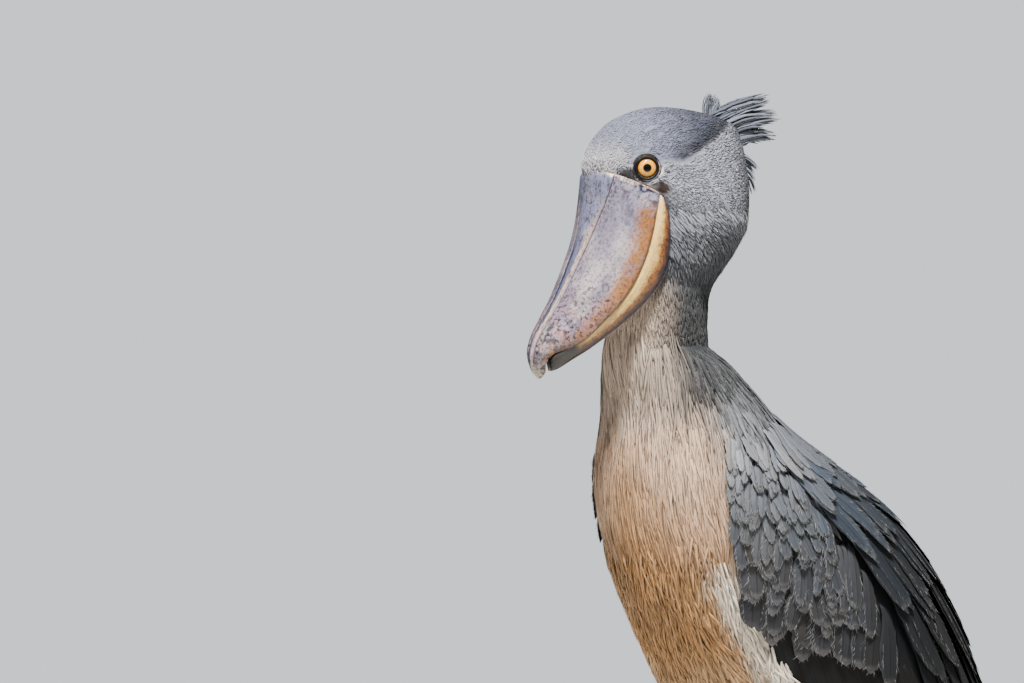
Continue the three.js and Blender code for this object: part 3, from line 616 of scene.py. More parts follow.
@dataclass
class Markings:
    """Colour of skin and coat, by place on the bird."""

    crown: str = "#747a90"
    crown_back: str = "#3a4153"
    crown_fold: str = "#1f232e"
    forehead: str = "#a3a3ab"
    cheek: str = "#979dab"
    # own darker colour of the nape, deepened as painted shade under the cheek
    nape: str = "#3d424a"
    lore: str = "#202126"
    gape: str = "#4a3a34"
    neck: str = "#bdac9d"
    # dark slate of the back of the neck, deepened as painted shade under the head
    neck_back: str = "#33373b"
    breast: str = "#d2b49b"
    breast_low: str = "#b98f64"
    belly: str = "#bd9060"
    belly_pale: str = "#d3ae84"
    cream: str = "#ece3d5"
    mantle: str = "#4f545c"
    shoulder: str = "#84898f"
    rump: str = "#363c44"
    thigh: str = "#74747a"
    under_wing_shade: str = "#12151a"  # painted shade on the down under the wings
    leg: str = "#3b3d40"

    def head(self, head: Array) -> Array:
        """Colour by place on the head."""
        forward, left, up = head[..., 0], np.abs(head[..., 1]), head[..., 2]
        over = up - fold_height(forward)
        dark = smooth(over, 24, 4) * smooth(over, -4, 1) * smooth(forward, -18, -40) * smooth(left, 12, 34)
        dark = dark * smooth(forward, -150, -110)
        crown = painted(self.crown, (self.crown_back, smooth(forward, 0, -75)))
        crown = painted(crown, (self.crown_fold, 0.85 * dark))
        # Towards the back this is the nape's own darker colour. Low on the cheek, where it turns down, the
        # same colour is painted shade.
        low = np.maximum(smooth(forward, -90, -140), 0.85 * smooth(up, -25, -85))
        return painted(
            self.cheek,
            (self.nape, low),
            (crown, smooth(over, -4, 4)),
            (self.forehead, smooth(forward, 5, 30) * smooth(up, 30, 5)),
        )

    def face(self, head: Array, colour: Array) -> Array:
        """Lays the bare dark lore before the eye and the brown gape over a colour."""
        forward, up = head[..., 0], head[..., 2]
        speck = speckle(head, 1.8, 51) * 0.7 + speckle(head, 3.1, 52) * 0.6
        middle = smooth(forward, 12, 4) * smooth(forward, -10, -2)
        gape = painted(self.gape, (self.lore, smooth(speck, -0.1, 0.5)))
        dark = painted(
            self.lore,
            (self.cheek, smooth(speck - 0.6 * middle, 0.45, -0.35 - middle)),
            (gape, smooth(forward, -6, -14)),
        )
        lore = np.hypot(forward - 16, 1.3 * (up + 9)) + 2.5 * speck
        bare = smooth(bare_face(head) + 2 * speck, 6.5, 3.5)
        return painted(colour, (dark, bare), (self.lore, 0.9 * smooth(lore, 10, 6.5)))

    def body(self, points: Array, station: Array, angle: Array) -> Array:
        """Colour by place on neck, body and thighs."""
        # The back and sides of the neck are dark slate, and they also carry painted shade from the head's
        # overhang.
        neck = painted(self.neck_back, (self.neck, smooth(angle, 95, 150)))
        down = station + 0.55 * speckle(points, 48, 4) + 0.7 * smooth(angle, 140, 176) - 0.2
        low = painted(self.belly, (self.belly_pale, smooth(speckle(points, 45, 3), -0.5, 0.7)))
        streak = speckle(points * np.array([1, 1, 0.22]), 11, 5)
        middle = 0.35 + 0.65 * smooth(angle, 140, 172)
        brown = smooth(station, 0.6, 1.8) * middle * smooth(streak, -0.2, 0.8)
        breast = painted(
            self.breast,
            (self.breast_low, smooth(down, 1.0, 3.2)),
            (low, smooth(down, 2.4, 4.2)),
            (tone(self.belly) * 0.6, 0.75 * brown),
        )
        # The mantle's down is darkened near-black where the wings lie over it: painted shade.
        mantle = painted(
            self.mantle,
            (self.shoulder, smooth(angle, 60, 100) * 0.7),
            (self.under_wing_shade, smooth(station, 2.4, 3.4) * smooth(angle, 122, 110)),
        )
        edge = 112 + 8 * speckle(points, 30, 9) + 16 * smooth(station, 1.0, 3.4)
        cream = smooth(station, 2.9, 3.4) * smooth(station, 6.2, 5.0) * smooth(angle, 148, 139)
        rear = smooth(station, 7.2, 8.2) * smooth(angle, 150, 100)
        rear = np.maximum(rear, smooth(points[..., 1], 150, 205))
        trunk = painted(
            mantle,
            (breast, smooth(angle - edge, -10, 10)),
            (self.cream, cream * smooth(angle, 118, 126)),
            (self.rump, rear * smooth(station, 6.6, 7.2)),
        )
        leg = smooth(points[..., 2], 500, 450)
        return painted(neck, (trunk, smooth(station, 0.2, 1.0)), (self.thigh, leg))

    def colour(self, points: Array, station: Array, angle: Array) -> Array:
        """Colour of skin and coat.

        Args:
            points: places in the frame of the bird.
            station: place along the body.
            angle: angle from the back, the same on both sides.

        Returns:
            Linear colours.
        """
        head = bird_to_head(points)
        body = self.body(points, station, angle)
        top = self.face(head, self.head(head))
        colour = mix(body, top, smooth(points[..., 2], 1000, 1040)[..., None])
        grain = 1 + 0.09 * speckle(points, 7, 1) + 0.07 * speckle(points, 2.4, 2)
        return np.clip(colour * grain[..., None], *REAL)


def column(rows: tuple, steps: int, sides: int, inset: Array | float = 0.0) -> Array:
    """Rings of an upright form of the left leg, in the frame of one foot.

    Args:
        rows: forward place, height, half depth, half width, sideways place.
        steps: number of rings.
        sides: points of a ring.
        inset: how far each ring lies inside its row.

    Returns:
        The rings.
    """
    forward, height, depth, half, sideways = columns(rows, steps)
    inset = np.broadcast_to(inset, (steps,))[:, None]
    turn = full_turn(sides)[None]
    x = sideways + (half - inset) * np.sin(turn)
    y = -(forward + (depth - inset) * np.cos(turn))
    return np.stack([x, y, np.broadcast_to(height, x.shape)], -1)


@dataclass
class Toe:
    """Sizes of a toe: turn from straight ahead to the outer side, length, number of bones."""

    turn: float
    length: float
    bones: int
    root: float = 12.0
    half: tuple[float, float] = (9.5, 5.2)
    height: tuple[float, float] = (9.5, 4.4)
    sink: float = 0.7

    def section(self, distance: Array, height: Array, half: Array, deep: Array, sides: int) -> Array:
        """Rings across the toe, which are flat where they meet the floor.

        Args:
            distance: place of each ring along the toe.
            height: height of its centre.
            half: half width.
            deep: half height.
            sides: points of a ring.

        Returns:
            The rings.
        """
        ahead = np.array([math.sin(math.radians(self.turn)), -math.cos(math.radians(self.turn)), 0])
        across = np.array([-ahead[1], ahead[0], 0])
        turn = full_turn(sides)
        points = distance[:, None, None] * ahead + (half[:, None] * np.cos(turn))[..., None] * across
        points[..., 2] = np.maximum(0, height[:, None] + deep[:, None] * np.sin(turn))
        return points

    def size(self, t: Array) -> tuple[Array, Array, Array]:
        """Distance, half width and half height at a share of the length."""
        knuckle = 1.01 + 0.11 * np.cos(math.pi * t * (2 * self.bones + 1))
        half = mix(*self.half, t) * knuckle
        return mix(self.root, self.length, t), half, mix(*self.height, t) * knuckle

    def rings(self, steps: int, sides: int) -> Array:
        """Rings of the toe from root to tip."""
        distance, half, deep = self.size(np.linspace(0, 1, steps))
        return self.section(distance, deep * self.sink, half, deep, sides)


@dataclass
class Legs:
    """Sizes of the legs, in the frame of one foot, the same as those of the solids."""

    spread: float = 64.0
    forward: float = 8.0
    thigh: tuple = (
        (-30, 560, 20, 12, -24), (-20, 535, 46, 26, -17), (-8, 490, 62, 33, -12),
        (-2, 450, 54, 32, -3), (-4, 415, 37, 24, -1), (-9, 388, 23, 17, 0), (-13, 368, 16, 14, 0),
    )
    shank: tuple = (
        (-12, 380, 11, 10.5, 0), (-13, 367.7, 10, 9.5, 0), (-16, 330, 8.5, 8, 0),
        (-19, 295, 10, 9.5, 0), (-21, 275, 14, 13, 0), (-21, 258, 15.5, 13.5, 0),
        (-18, 240, 12.5, 11, 0), (-14, 215, 9, 8.5, 0), (-7, 140, 8.5, 8, 0), (-2, 75, 9, 9, 0),
        (0, 48, 11, 12, 0), (0, 33, 13, 15, 0),
    )
    hub: tuple = (
        (0, 36, 12.5, 14.5, 0), (0, 33, 13, 15, 0), (1, 24, 18, 19, 0), (2, 12, 21, 21, 0),
        (2, 3, 20, 20, 0), (2, 0, 18, 18, 0),
    )
    toes: dict[str, Toe] = field(
        default_factory=lambda: {
            "inner": Toe(-20, 145, 3),
            "middle": Toe(6, 172, 4),
            "outer": Toe(38, 150, 4),
            "hind": Toe(176, 82, 2),
        }
    )

    def place(self, rings: Array) -> Array:
        """Moves rings from the frame of one foot to the left side of the bird."""
        return rings + np.array([self.spread, -self.forward, 0])


@dataclass
class Skin:
    """The one skin of head, neck, trunk and legs, which the coat grows from."""

    voxel: float = 1.8
    share: float = 0.25  # of the faces that are kept after the remesh
    sides: int = 120
    neck_coat: float = 6.0
    body_coat: float = 11.0
    belly_coat: float = 14.0
    head_coat: float = 3.0
    thigh_coat: float = 7.0
    legs: Legs = field(default_factory=Legs)

    def depth(self, station: Array, angle: Array) -> Array:
        """How deep the skin lies under the outer line of the plumage.

        Args:
            station: place along the body.
            angle: angle from the back.

        Returns:
            Depths.
        """
        depth = self.neck_coat + (self.body_coat - self.neck_coat) * smooth(station, 0.1, 1.2)
        belly = smooth(station, 2.2, 3.6) * smooth(angle, 125, 150)
        depth = depth + (self.belly_coat - self.body_coat) * belly
        return depth + 9 * smooth(station, 7.4, 9.2)

    def trunk(self) -> Form:
        """Neck, body and root of the tail."""
        turn = full_turn(self.sides)
        height, x, forward, deep, half = columns(NECK, 24)
        less = self.neck_coat * smooth(-height, -1050, -1015)
        y = -(forward - (deep - less) * np.cos(turn))
        neck = np.stack([x + (half - less) * np.sin(turn), y, height + 0 * turn], -1)
        station = np.linspace(0, 9.6, 150)[:, None]
        degrees = np.degrees(turn)[None]
        side = np.where(degrees > 180, 360 - degrees, degrees)
        return lofted(np.concatenate([neck, body_point(station, degrees, -self.depth(station, side))]))

    def tail_root(self) -> Form:
        """The fleshy root that the tail feathers stand in."""
        rows = ((180, 480, 44, 34), (215, 474, 38, 26), (248, 462, 30, 15), (272, 446, 26, 8))
        behind, height, half, deep = columns(rows, 30)
        turn = full_turn(48)
        rise = deep * np.cos(turn)
        return lofted(np.stack([half * np.sin(turn), behind + 0.2 * rise, height + rise], -1))

    def head(self) -> Form:
        """Head without the bill."""
        up, centre, length, half = columns(HEAD, 110)
        turn = full_turn(self.sides)
        less = self.head_coat
        ahead = centre + np.maximum(length - less, 1) * np.cos(turn)
        aside = np.maximum(half - less, 1) * np.sin(turn)
        return lofted(head_to_bird(np.stack([ahead, aside, up - less * smooth(up, 40, 62) + 0 * turn], -1)))

    def leg(self) -> list[Form]:
        """Thigh, shank, foot and toes of the left leg."""
        legs, steps = self.legs, 60
        height = columns(legs.thigh, steps)[1, :, 0]
        parts = [column(legs.thigh, steps, 48, self.thigh_coat * smooth(height, 368, 430))]
        parts += [column(legs.shank, 160, 32), column(legs.hub, 24, 48)]
        parts += [toe.rings(70, 24) for toe in legs.toes.values()]
        return [lofted(legs.place(rings)) for rings in parts]

    def remesh(self, form: Form) -> bpy.types.Mesh:
        """Melts closed forms together to one skin.

        Args:
            form: the forms, which overlap.

        Returns:
            The mesh of the skin.
        """
        mesh = bpy.data.meshes.new("rough_skin")
        faces = form.quads.tolist() + form.tris.tolist()
        mesh.from_pydata(to_part(form.points).tolist(), [], faces)
        rough = bpy.data.objects.new("rough_skin", mesh)
        bpy.context.scene.collection.objects.link(rough)
        melt = rough.modifiers.new("melt", "REMESH")
        melt.mode = "VOXEL"
        melt.voxel_size = self.voxel * MM
        even = rough.modifiers.new("even", "SMOOTH")
        even.factor = 0.5
        even.iterations = 6
        fewer = rough.modifiers.new("fewer", "DECIMATE")
        fewer.ratio = self.share
        solid = bpy.data.meshes.new_from_object(rough.evaluated_get(bpy.context.evaluated_depsgraph_get()))
        bpy.data.objects.remove(rough)
        return solid

    def socket(self, points: Array, eyes: "Eyes") -> Array:
        """Sinks the skin behind the eyeballs and raises it softly round them.

        Args:
            points: points of the skin.
            eyes: the eyes.

        Returns:
            The moved points.
        """
        for side in (1, -1):
            centre, sight = eyes.centre(side), eyes.sight(side)
            off = points - centre
            out = off @ sight
            radius = np.linalg.norm(off - out[:, None] * sight, axis=1)
            ball = np.sqrt(np.maximum(eyes.radius**2 - radius**2, 0))
            bowl = mix(ball - 2.5, 60.0, smooth(radius, 11.5, 16.5) ** 3)
            sink = np.where((out > 0) & (out > bowl) & (radius < 16.5), out - bowl, 0)
            points = points - sink[:, None] * sight
        return points

    def build(self, eyes: "Eyes") -> "Surface":
        """Makes the skin and what the coat needs to grow on it."""
        leg = joined(self.leg())
        form = joined([self.trunk(), self.tail_root(), self.head(), leg, mirrored(leg)])
        solid = self.remesh(form)
        solid.calc_loop_triangles()
        points = np.empty(3 * len(solid.vertices), np.float32)
        solid.vertices.foreach_get("co", points)
        corners = np.empty(3 * len(solid.loop_triangles), np.int32)
        solid.loop_triangles.foreach_get("vertices", corners)
        bpy.data.meshes.remove(solid)
        points = points.reshape(-1, 3).astype(float) / MM - SHIFT
        points = self.socket(points, eyes)
        points[:, 2] = np.maximum(points[:, 2], 0)
        return Surface(points, corners.reshape(-1, 3))


class Surface:
    """A skin with the lookups that feathers are laid by."""

    def __init__(self, points: Array, tris: Array) -> None:
        """Keeps the mesh and makes its normals, search tree and places on the body.

        Args:
            points: points in the frame of the bird.
            tris: its triangles.
        """
        self.points = points
        self.tris = tris
        a, b, c = points[tris[:, 0]], points[tris[:, 1]], points[tris[:, 2]]
        face = np.cross(b - a, c - a)
        normals = np.zeros_like(points)
        for corner in range(3):
            np.add.at(normals, tris[:, corner], face)
        self.normals = unit(normals)
        self.tree = BVHTree.FromPolygons(points.tolist(), tris.tolist())
        self.station, self.angle = self.places(points)

    @staticmethod
    def places(points: Array) -> tuple[Array, Array]:
        """Finds the place on the body nearest to each point.

        Args:
            points: points in the frame of the bird.

        Returns:
            Station and angle of each point.
        """
        stations = np.arange(0, 11.01, 0.08)
        angles = np.arange(0, 181, 2.0)
        grid = body_point(stations[:, None], angles[None], -10)
        tree = KDTree(grid.size // 3)
        for i, place in enumerate(grid.reshape(-1, 3)):
            tree.insert(place, i)
        tree.balance()
        side = np.abs(points[:, :1])
        sought = np.concatenate([side, points[:, 1:]], axis=1)
        found = np.array([tree.find(p)[1] for p in sought])
        return stations[found // len(angles)], angles[found % len(angles)]

    def follow(self, start: Array, direction: Array, length: Array, steps: int) -> tuple[Array, Array]:
        """Walks over the skin from a place, in a direction that bends with it.

        Args:
            start: first points.
            direction: direction at the start.
            length: how far to walk.
            steps: number of points of each path.

        Returns:
            Paths and the skin's normals along them.
        """
        count = len(start)
        path = np.empty((count, steps, 3))
        normal = np.empty((count, steps, 3))
        step = length / (steps - 1)
        for i in range(count):
            p, d = start[i], direction[i]
            for k in range(steps):
                path[i, k], normal[i, k], _, _ = self.tree.find_nearest(Vector(p))
                d = d - normal[i, k] * (d @ normal[i, k])
                d = d / max(np.linalg.norm(d), 1e-9)
                p = path[i, k] + d * step[i]
        return path, normal


@dataclass
class Roots:
    """Places on the skin that something grows from."""

    points: Array
    normals: Array
    station: Array
    angle: Array
    chance: Array

    def __len__(self) -> int:
        """Number of roots."""
        return len(self.points)


def scatter(skin: Surface, spacing: float, seed: int, inside: Array) -> Roots:
    """Strews roots evenly over part of a skin.

    Args:
        skin: the skin.
        spacing: least distance between roots, roughly.
        seed: number of the random draw.
        inside: for each point of the skin, whether roots stand there.

    Returns:
        The roots.
    """
    draw = np.random.default_rng(seed)
    tris = skin.tris[inside[skin.tris].all(1)]
    a, b, c = (skin.points[tris[:, i]] for i in range(3))
    area = np.linalg.norm(np.cross(b - a, c - a), axis=1) / 2
    count = int(area.sum() / spacing**2 * 2.2)
    chosen = draw.choice(len(tris), count, p=area / area.sum())
    u, v = draw.random((2, count))
    fold = u + v > 1
    u[fold], v[fold] = 1 - u[fold], 1 - v[fold]
    weights = np.stack([1 - u - v, u, v], -1)
    corner = tris[chosen]
    points = (skin.points[corner] * weights[..., None]).sum(1)
    cells = np.floor(points / spacing).astype(np.int64)
    _, first = np.unique(cells @ np.array([1, 4096, 4096**2]), return_index=True)
    first = np.sort(first)
    corner, weights = corner[first], weights[first]
    return Roots(
        points[first],
        unit((skin.normals[corner] * weights[..., None]).sum(1)),
        (skin.station[corner] * weights).sum(1),
        (skin.angle[corner] * weights).sum(1),
        draw.random(len(first)),
    )


def lie_of(points: Array, station: Array, angle: Array) -> Array:
    """The way the plumage lies, before it is laid on the skin.

    Args:
        points: roots.
        station: place along the body.
        angle: angle from the back.

    Returns:
        Directions.
    """
    side = np.sign(points[:, :1]) + (points[:, :1] == 0)
    z = np.zeros(len(points))
    head = bird_to_head(points)
    back = head - np.array([30.0, 0, -5])
    spread = unit(np.stack([back[:, 0], 0.55 * back[:, 1], 0.35 * back[:, 2] + 12], -1))
    low = smooth(head[:, 2], 5, -45)[:, None]
    fall = np.stack([z - 0.75, 0.1 * np.sign(head[:, 1]), z - 0.75], -1)
    top = mix(spread, fall, low)
    top = mix(top, np.array([-0.15, 0.0, -1.0]), smooth(head[:, 2], -60, -100)[:, None])
    top = head_to_bird(top) - HEAD_PLACE
    breast = np.stack([0.06 * side[:, 0], z + 0.15, z - 1], -1)
    belly = np.stack([z, z + 0.75, z - 0.66], -1)
    along = body_point(station + 0.3, 90 + 0 * angle) - body_point(station, 90 + 0 * angle)
    along[:, 0] = 0
    along = unit(along) + np.array([0, 0, -0.25])
    trunk = mix(along, breast, smooth(angle, 85, 118)[:, None])
    under = smooth(station, 3.0, 4.8) * smooth(angle, 128, 150)
    trunk = mix(trunk, belly, under[:, None])
    trunk = mix(trunk, np.array([0, 0.1, -1.0]), smooth(station, 0.8, 0.1)[:, None])
    thigh = np.stack([z, z + 0.12, z - 1], -1)
    trunk = mix(trunk, thigh, smooth(points[:, 2], 500, 455)[:, None] * (station < 9)[:, None])
    return unit(mix(trunk, unit(top), smooth(points[:, 2], 1000, 1045)[:, None]))


@dataclass
class Patch:
    """One kind of small feather and the part of the skin that it covers."""

    name: str
    spacing: float
    length: tuple[float, float]
    width: tuple[float, float]
    shape: VaneShape
    lift: float  # height of the middle over the skin
    tip_lift: float  # height of the tip over the skin
    scatter: float = 0.12  # how far directions stray
    sink: float = 1.5  # depth of a root under the skin
    follows: bool = False  # whether it bends with the skin
    seed: int = 1
    shade: float = 0.12  # how much tufts differ in tone
    streaks: float = 0.0  # share that is much darker
    lock: float = 9.0  # distance between the locks that the tufts gather in
    gather: float = 0.5  # how far the tips of a lock close up


@dataclass
class Coat:
    """Body feathers and down, kind by kind."""

    skin: Surface
    markings: Markings
    patches: tuple[Patch, ...]
    slimness: float = 0.35  # width of a lock against its length

    def grow(self, patch: Patch, inside: Array) -> Form:
        """Grows one kind of feather.

        Args:
            patch: the kind.
            inside: for each point of the skin, whether the kind covers it.

        Returns:
            All its feathers.
        """
        roots = scatter(self.skin, patch.spacing, patch.seed, inside)
        draw = np.random.default_rng(patch.seed + 500)
        count = len(roots)
        way = lie_of(roots.points, roots.station, roots.angle)
        way = way + patch.scatter * draw.normal(size=(count, 3))
        way = unit(way - dot(way, roots.normals) * roots.normals)
        length = mix(*patch.length, draw.random(count))
        width = mix(*patch.width, draw.random(count))
        steps = patch.shape.stations
        share = np.linspace(0, 1, steps)
        if patch.follows:
            path, normal = self.skin.follow(roots.points, way, length, steps)
        else:
            path = roots.points[:, None] + way[:, None] * (length[:, None] * share)[..., None]
            normal = np.broadcast_to(roots.normals[:, None], path.shape).copy()
        side = unit(np.cross(roots.normals, way))
        locks = scatter(self.skin, patch.lock, patch.seed + 50, inside)
        tree = KDTree(len(locks))
        slim = np.array([1, 1, self.slimness])
        for i, place in enumerate(locks.points * slim):
            tree.insert(place, i)
        tree.balance()
        nearest = np.array([tree.find(place)[1] for place in roots.points * slim])
        pull = dot(locks.points[nearest] - roots.points, side) * patch.gather
        path = path + (side * pull)[:, None] * (share**1.4)[:, None]
        high = patch.lift * (0.8 + 0.4 * draw.random(count))
        tip = patch.tip_lift * (0.6 + 0.8 * draw.random(count))
        rise = -patch.sink * (1 - smooth(share, 0, 0.3)) + high[:, None] * np.sin(math.pi * share)
        rise = rise + tip[:, None] * share**1.5
        path = path + normal * rise[..., None]
        tangent = unit(np.gradient(path, axis=1))
        normal = unit(normal - dot(normal, tangent) * tangent)
        tilt = 0.25 * draw.normal(size=(count, 1, 1))
        normal = unit(normal + tilt * np.cross(normal, tangent))
        middle = path[:, 0]
        colour = self.markings.colour(middle, roots.station, roots.angle)
        unlike = draw.normal(size=(count, 1)) + 1.6 * locks.chance[nearest][:, None] - 0.8
        tone_of = 1 + patch.shade * unlike
        dark = (draw.random((count, 1)) < patch.streaks) * 0.42
        colour = np.clip(colour * tone_of * (1 - dark), *REAL)
        return patch.shape.build(path, normal, width, colour, roots.chance, unwrap(roots.points))

    def build(self, material: bpy.types.Material) -> None:
        """Makes the pieces of each kind, cut across where it has too many triangles."""
        covered = regions(self.skin)
        for patch in self.patches:
            form = self.grow(patch, covered[patch.name])
            for i, part in enumerate(cut_across(form, patch.shape)):
                part.patch = even_patches(part.patch)
                name = f"coat_{patch.name}_{i + 1}" if form.triangles > MOST else "coat_" + patch.name
                make_piece(name, part, material)


def regions(skin: Surface) -> dict[str, Array]:
    """Finds the part of the skin that each kind of small feather covers, with ragged borders.

    Args:
        skin: the skin.

    Returns:
        By name of the kind, which points of the skin it covers.
    """
    local = bird_to_head(skin.points)
    forward, up, fold = local[:, 0], local[:, 2], fold_height(local[:, 0])
    side, behind, height = np.abs(skin.points[:, 0]), skin.points[:, 1], skin.points[:, 2]
    station, angle = skin.station, skin.angle
    grain = ((5, 61), (5, 62), (6, 63), (9, 64), (9, 65), (6, 66))
    chin, nape, collar, flank, belly, back = (speckle(skin.points, size, seed) for size, seed in grain)
    eye = np.hypot(forward - 2, up + 1) + 60 * (np.abs(local[:, 1]) < 38)
    head = (up >= -50 + 11 * chin) & (eye > 15.8) & (bare_face(local) > 4)
    front = (height < 975 + 24 * collar) & (angle > 98 + 8 * smooth(station, 1, 3))
    low = (station > 2.9 + 0.3 * belly) & (station < 9.3) & (height > 430) & (side < 150)
    return {
        "head_crown": head & (up > fold),
        "head_cheek": head & (up <= fold + 2),
        "head_throat": (up <= -42 + 11 * nape) & (station < 1.3) & (height > 885 + 22 * nape),
        "breast": front & (station < 3.6 + 0.3 * flank),
        "belly": low & (angle > 126 + 9 * smooth(station, 5.2, 4.4)),
        "mantle": (station >= 0.05) & (station < 3.0) & (angle < 112) & (height < 980 + 24 * back),
        "thigh": (height < 500) & (height > 378) & (side > 18) & (behind < 110),
        "rump": ((station > 7.6) | (height < 520)) & (behind > 130) & (height > 420),
    }


FLAT = VaneShape(Section.TUFT, 3, 0.25, root=0.55, widest=0.45, bluntness=0.6, camber=0.1)
SOFT = VaneShape(Section.TUFT, 4, 0.3, root=0.5, widest=0.4, bluntness=0.8, camber=0.1)
LONG = VaneShape(Section.PLUME, 7, 0.5, root=0.45, widest=0.4, bluntness=0.85, camber=0.12)
DOWN = VaneShape(Section.PLUME, 5, 0.5, root=0.5, widest=0.35, bluntness=0.95, camber=0.12)
LANCE = VaneShape(Section.PLUME, 7, 0.7, root=0.45, widest=0.45, bluntness=0.7, ragged=0.05)
CONTOUR = VaneShape(Section.FEATHER, 7, 1.0, root=0.5, widest=0.6, bluntness=0.5, ragged=0.05)
COAT = (
    Patch("head_crown", 1.6, (3.4, 6.4), (1.0, 1.7), FLAT, 0.3, 0.5, 0.16, seed=11, shade=0.1),
    Patch("head_cheek", 1.6, (5, 9), (0.9, 1.6), FLAT, 0.45, 0.7, 0.16, seed=12, shade=0.06),
    Patch("head_throat", 2.55, (12, 21), (1.5, 2.7), SOFT, 0.7, 0.8, 0.07, seed=13, shade=0.05, gather=0.4),
    Patch("breast", 3.4, (44, 88), (2.0, 3.9), LONG, 2.2, 2.6, 0.08, sink=2, follows=True, seed=14,
          streaks=0.05, lock=17, gather=0.8),
    Patch("belly", 4.1, (26, 54), (2.2, 4.2), DOWN, 3.4, 6, 0.16, sink=2, follows=True, seed=15,
          shade=0.13, streaks=0.06, lock=15, gather=0.8),
    Patch("mantle", 4.9, (36, 68), (4.1, 6.9), LANCE, 2.2, 2.2, 0.05, sink=2, follows=True, seed=16,
          shade=0.16, streaks=0.12, lock=14, gather=0.4),
    Patch("thigh", 4.0, (14, 26), (2.2, 3.8), SOFT, 2.0, 2.6, 0.12, sink=2, seed=17, shade=0.1),
    Patch("rump", 7.0, (34, 52), (12, 16), CONTOUR, 4, 5, 0.08, sink=2, follows=True, seed=18, shade=0.1),
)


@dataclass
class Tier:
    """A row of wing feathers on the folded wing.

    Places are station and angle; reach is how far station and angle change from root to tip.
    """

    name: str
    first: tuple[float, float]
    last: tuple[float, float]
    first_reach: tuple[float, float]
    last_reach: tuple[float, float]
    count: int
    width: tuple[float, float]
    lie: tuple[float, float]  # height of the roots and of the tips over the outer line
    colour: tuple[str, str]  # of the first and of the last feather
    stack: float = 0.0  # how much higher each feather lies than the one before
    roll: float = 0.09
    bluntness: float = 0.42
    stray: float = 1.0  # how far tips stray from the row
    barbs: int = 0  # loose barbs round the end of each feather
    worn: float = 1.0  # how pale the worn fringe is


WING_TIERS = (
    Tier("primary", (5.3, 133), (6.1, 108), (5.1, -62), (3.6, -22), 10, (32, 34), (-12, -9.5),
         ("#07090c", "#090b0f"), 0.55, 0.03, worn=0.03),
    Tier("secondary", (4.2, 128), (5.9, 84), (1.95, 4), (2.5, 6), 16, (30, 34), (-12, -7),
         ("#0e1114", "#0b0e12"), 0.0, 0.1, 0.45, 1.6, 0, 0.08),
    Tier("tertial", (5.2, 74), (5.4, 16), (3.4, 8), (4.2, 6), 9, (38, 46), (-12, -3.5),
         ("#101419", "#0a0d12"), 0.0, 0.09, 0.6, 1.8, 10, 0.15),
    Tier("greater", (3.45, 122), (5.0, 80), (0.98, 14), (1.05, 18), 16, (27, 32), (-12, -4),
         ("#34353a", "#1d2025"), 0.0, 0.12, 0.5, 2.6, 22, 0.8),
    Tier("median_low", (3.1, 120), (4.4, 79), (0.9, 13), (0.95, 16), 18, (21, 26), (-12, -2.8),
         ("#3c3e43", "#2b2e34"), 0.0, 0.13, 0.55, 3.2, 30),
    Tier("median_high", (2.75, 118), (3.95, 79), (0.82, 12), (0.86, 14), 18, (18, 22), (-11, -2.0),
         ("#474b52", "#31363d"), 0.0, 0.13, 0.6, 3.4, 30),
    Tier("lesser_low", (2.45, 117), (3.5, 79), (0.72, 10), (0.76, 12), 19, (14, 18), (-10, -1.2),
         ("#555a62", "#3a4048"), 0.0, 0.14, 0.65, 3.6, 28),
    Tier("lesser_middle", (2.18, 115), (3.08, 79), (0.64, 9), (0.68, 11), 19, (12, 16), (-10, -0.8),
         ("#62686f", "#454c55"), 0.0, 0.14, 0.7, 3.6, 26),
    Tier("lesser_high", (1.95, 114), (2.68, 79), (0.58, 8), (0.62, 10), 19, (11, 14), (-9, -0.4),
         ("#6f757d", "#505762"), 0.0, 0.14, 0.7, 3.6, 24),
    Tier("lesser_upper", (1.72, 112), (2.3, 79), (0.54, 7), (0.56, 9), 17, (10, 13), (-9, -0.1),
         ("#7c8189", "#5f6671"), 0.0, 0.14, 0.7, 3.6, 22),
    Tier("lesser_top", (1.5, 110), (1.95, 79), (0.5, 6), (0.52, 8), 15, (9, 12), (-9, 0.1),
         ("#898e95", "#717883"), 0.0, 0.14, 0.7, 3.4, 20),
    Tier("scapular_rear", (4.3, 73), (4.5, 12), (2.1, 4), (2.3, 3), 13, (30, 36), (-11, -1.0),
         ("#14191f", "#0a0d12"), 0.0, 0.09, 0.65, 3.4, 20, 0.3),
    Tier("scapular_low", (3.4, 75), (3.5, 14), (1.85, 1), (2.0, 2), 14, (25, 31), (-10, 0.0),
         ("#1f262e", "#0e1218"), 0.0, 0.1, 0.68, 3.6, 22, 0.5),
    Tier("scapular_middle", (2.6, 77), (2.6, 15), (1.65, -1), (1.75, 1), 14, (20, 26), (-9, 0.8),
         ("#363e48", "#161c24"), 0.0, 0.1, 0.7, 3.8, 22, 0.7),
    Tier("scapular_high", (1.95, 79), (1.95, 18), (1.4, -1), (1.5, 1), 15, (16, 21), (-8, 1.4),
         ("#505864", "#1c232c"), 0.0, 0.1, 0.72, 4.0, 22),
    Tier("scapular_top", (1.5, 80), (1.45, 22), (1.1, -1), (1.2, 1), 16, (12, 17), (-7, 1.8),
         ("#79808b", "#2a323c"), 0.0, 0.1, 0.75, 4.0, 22),
)


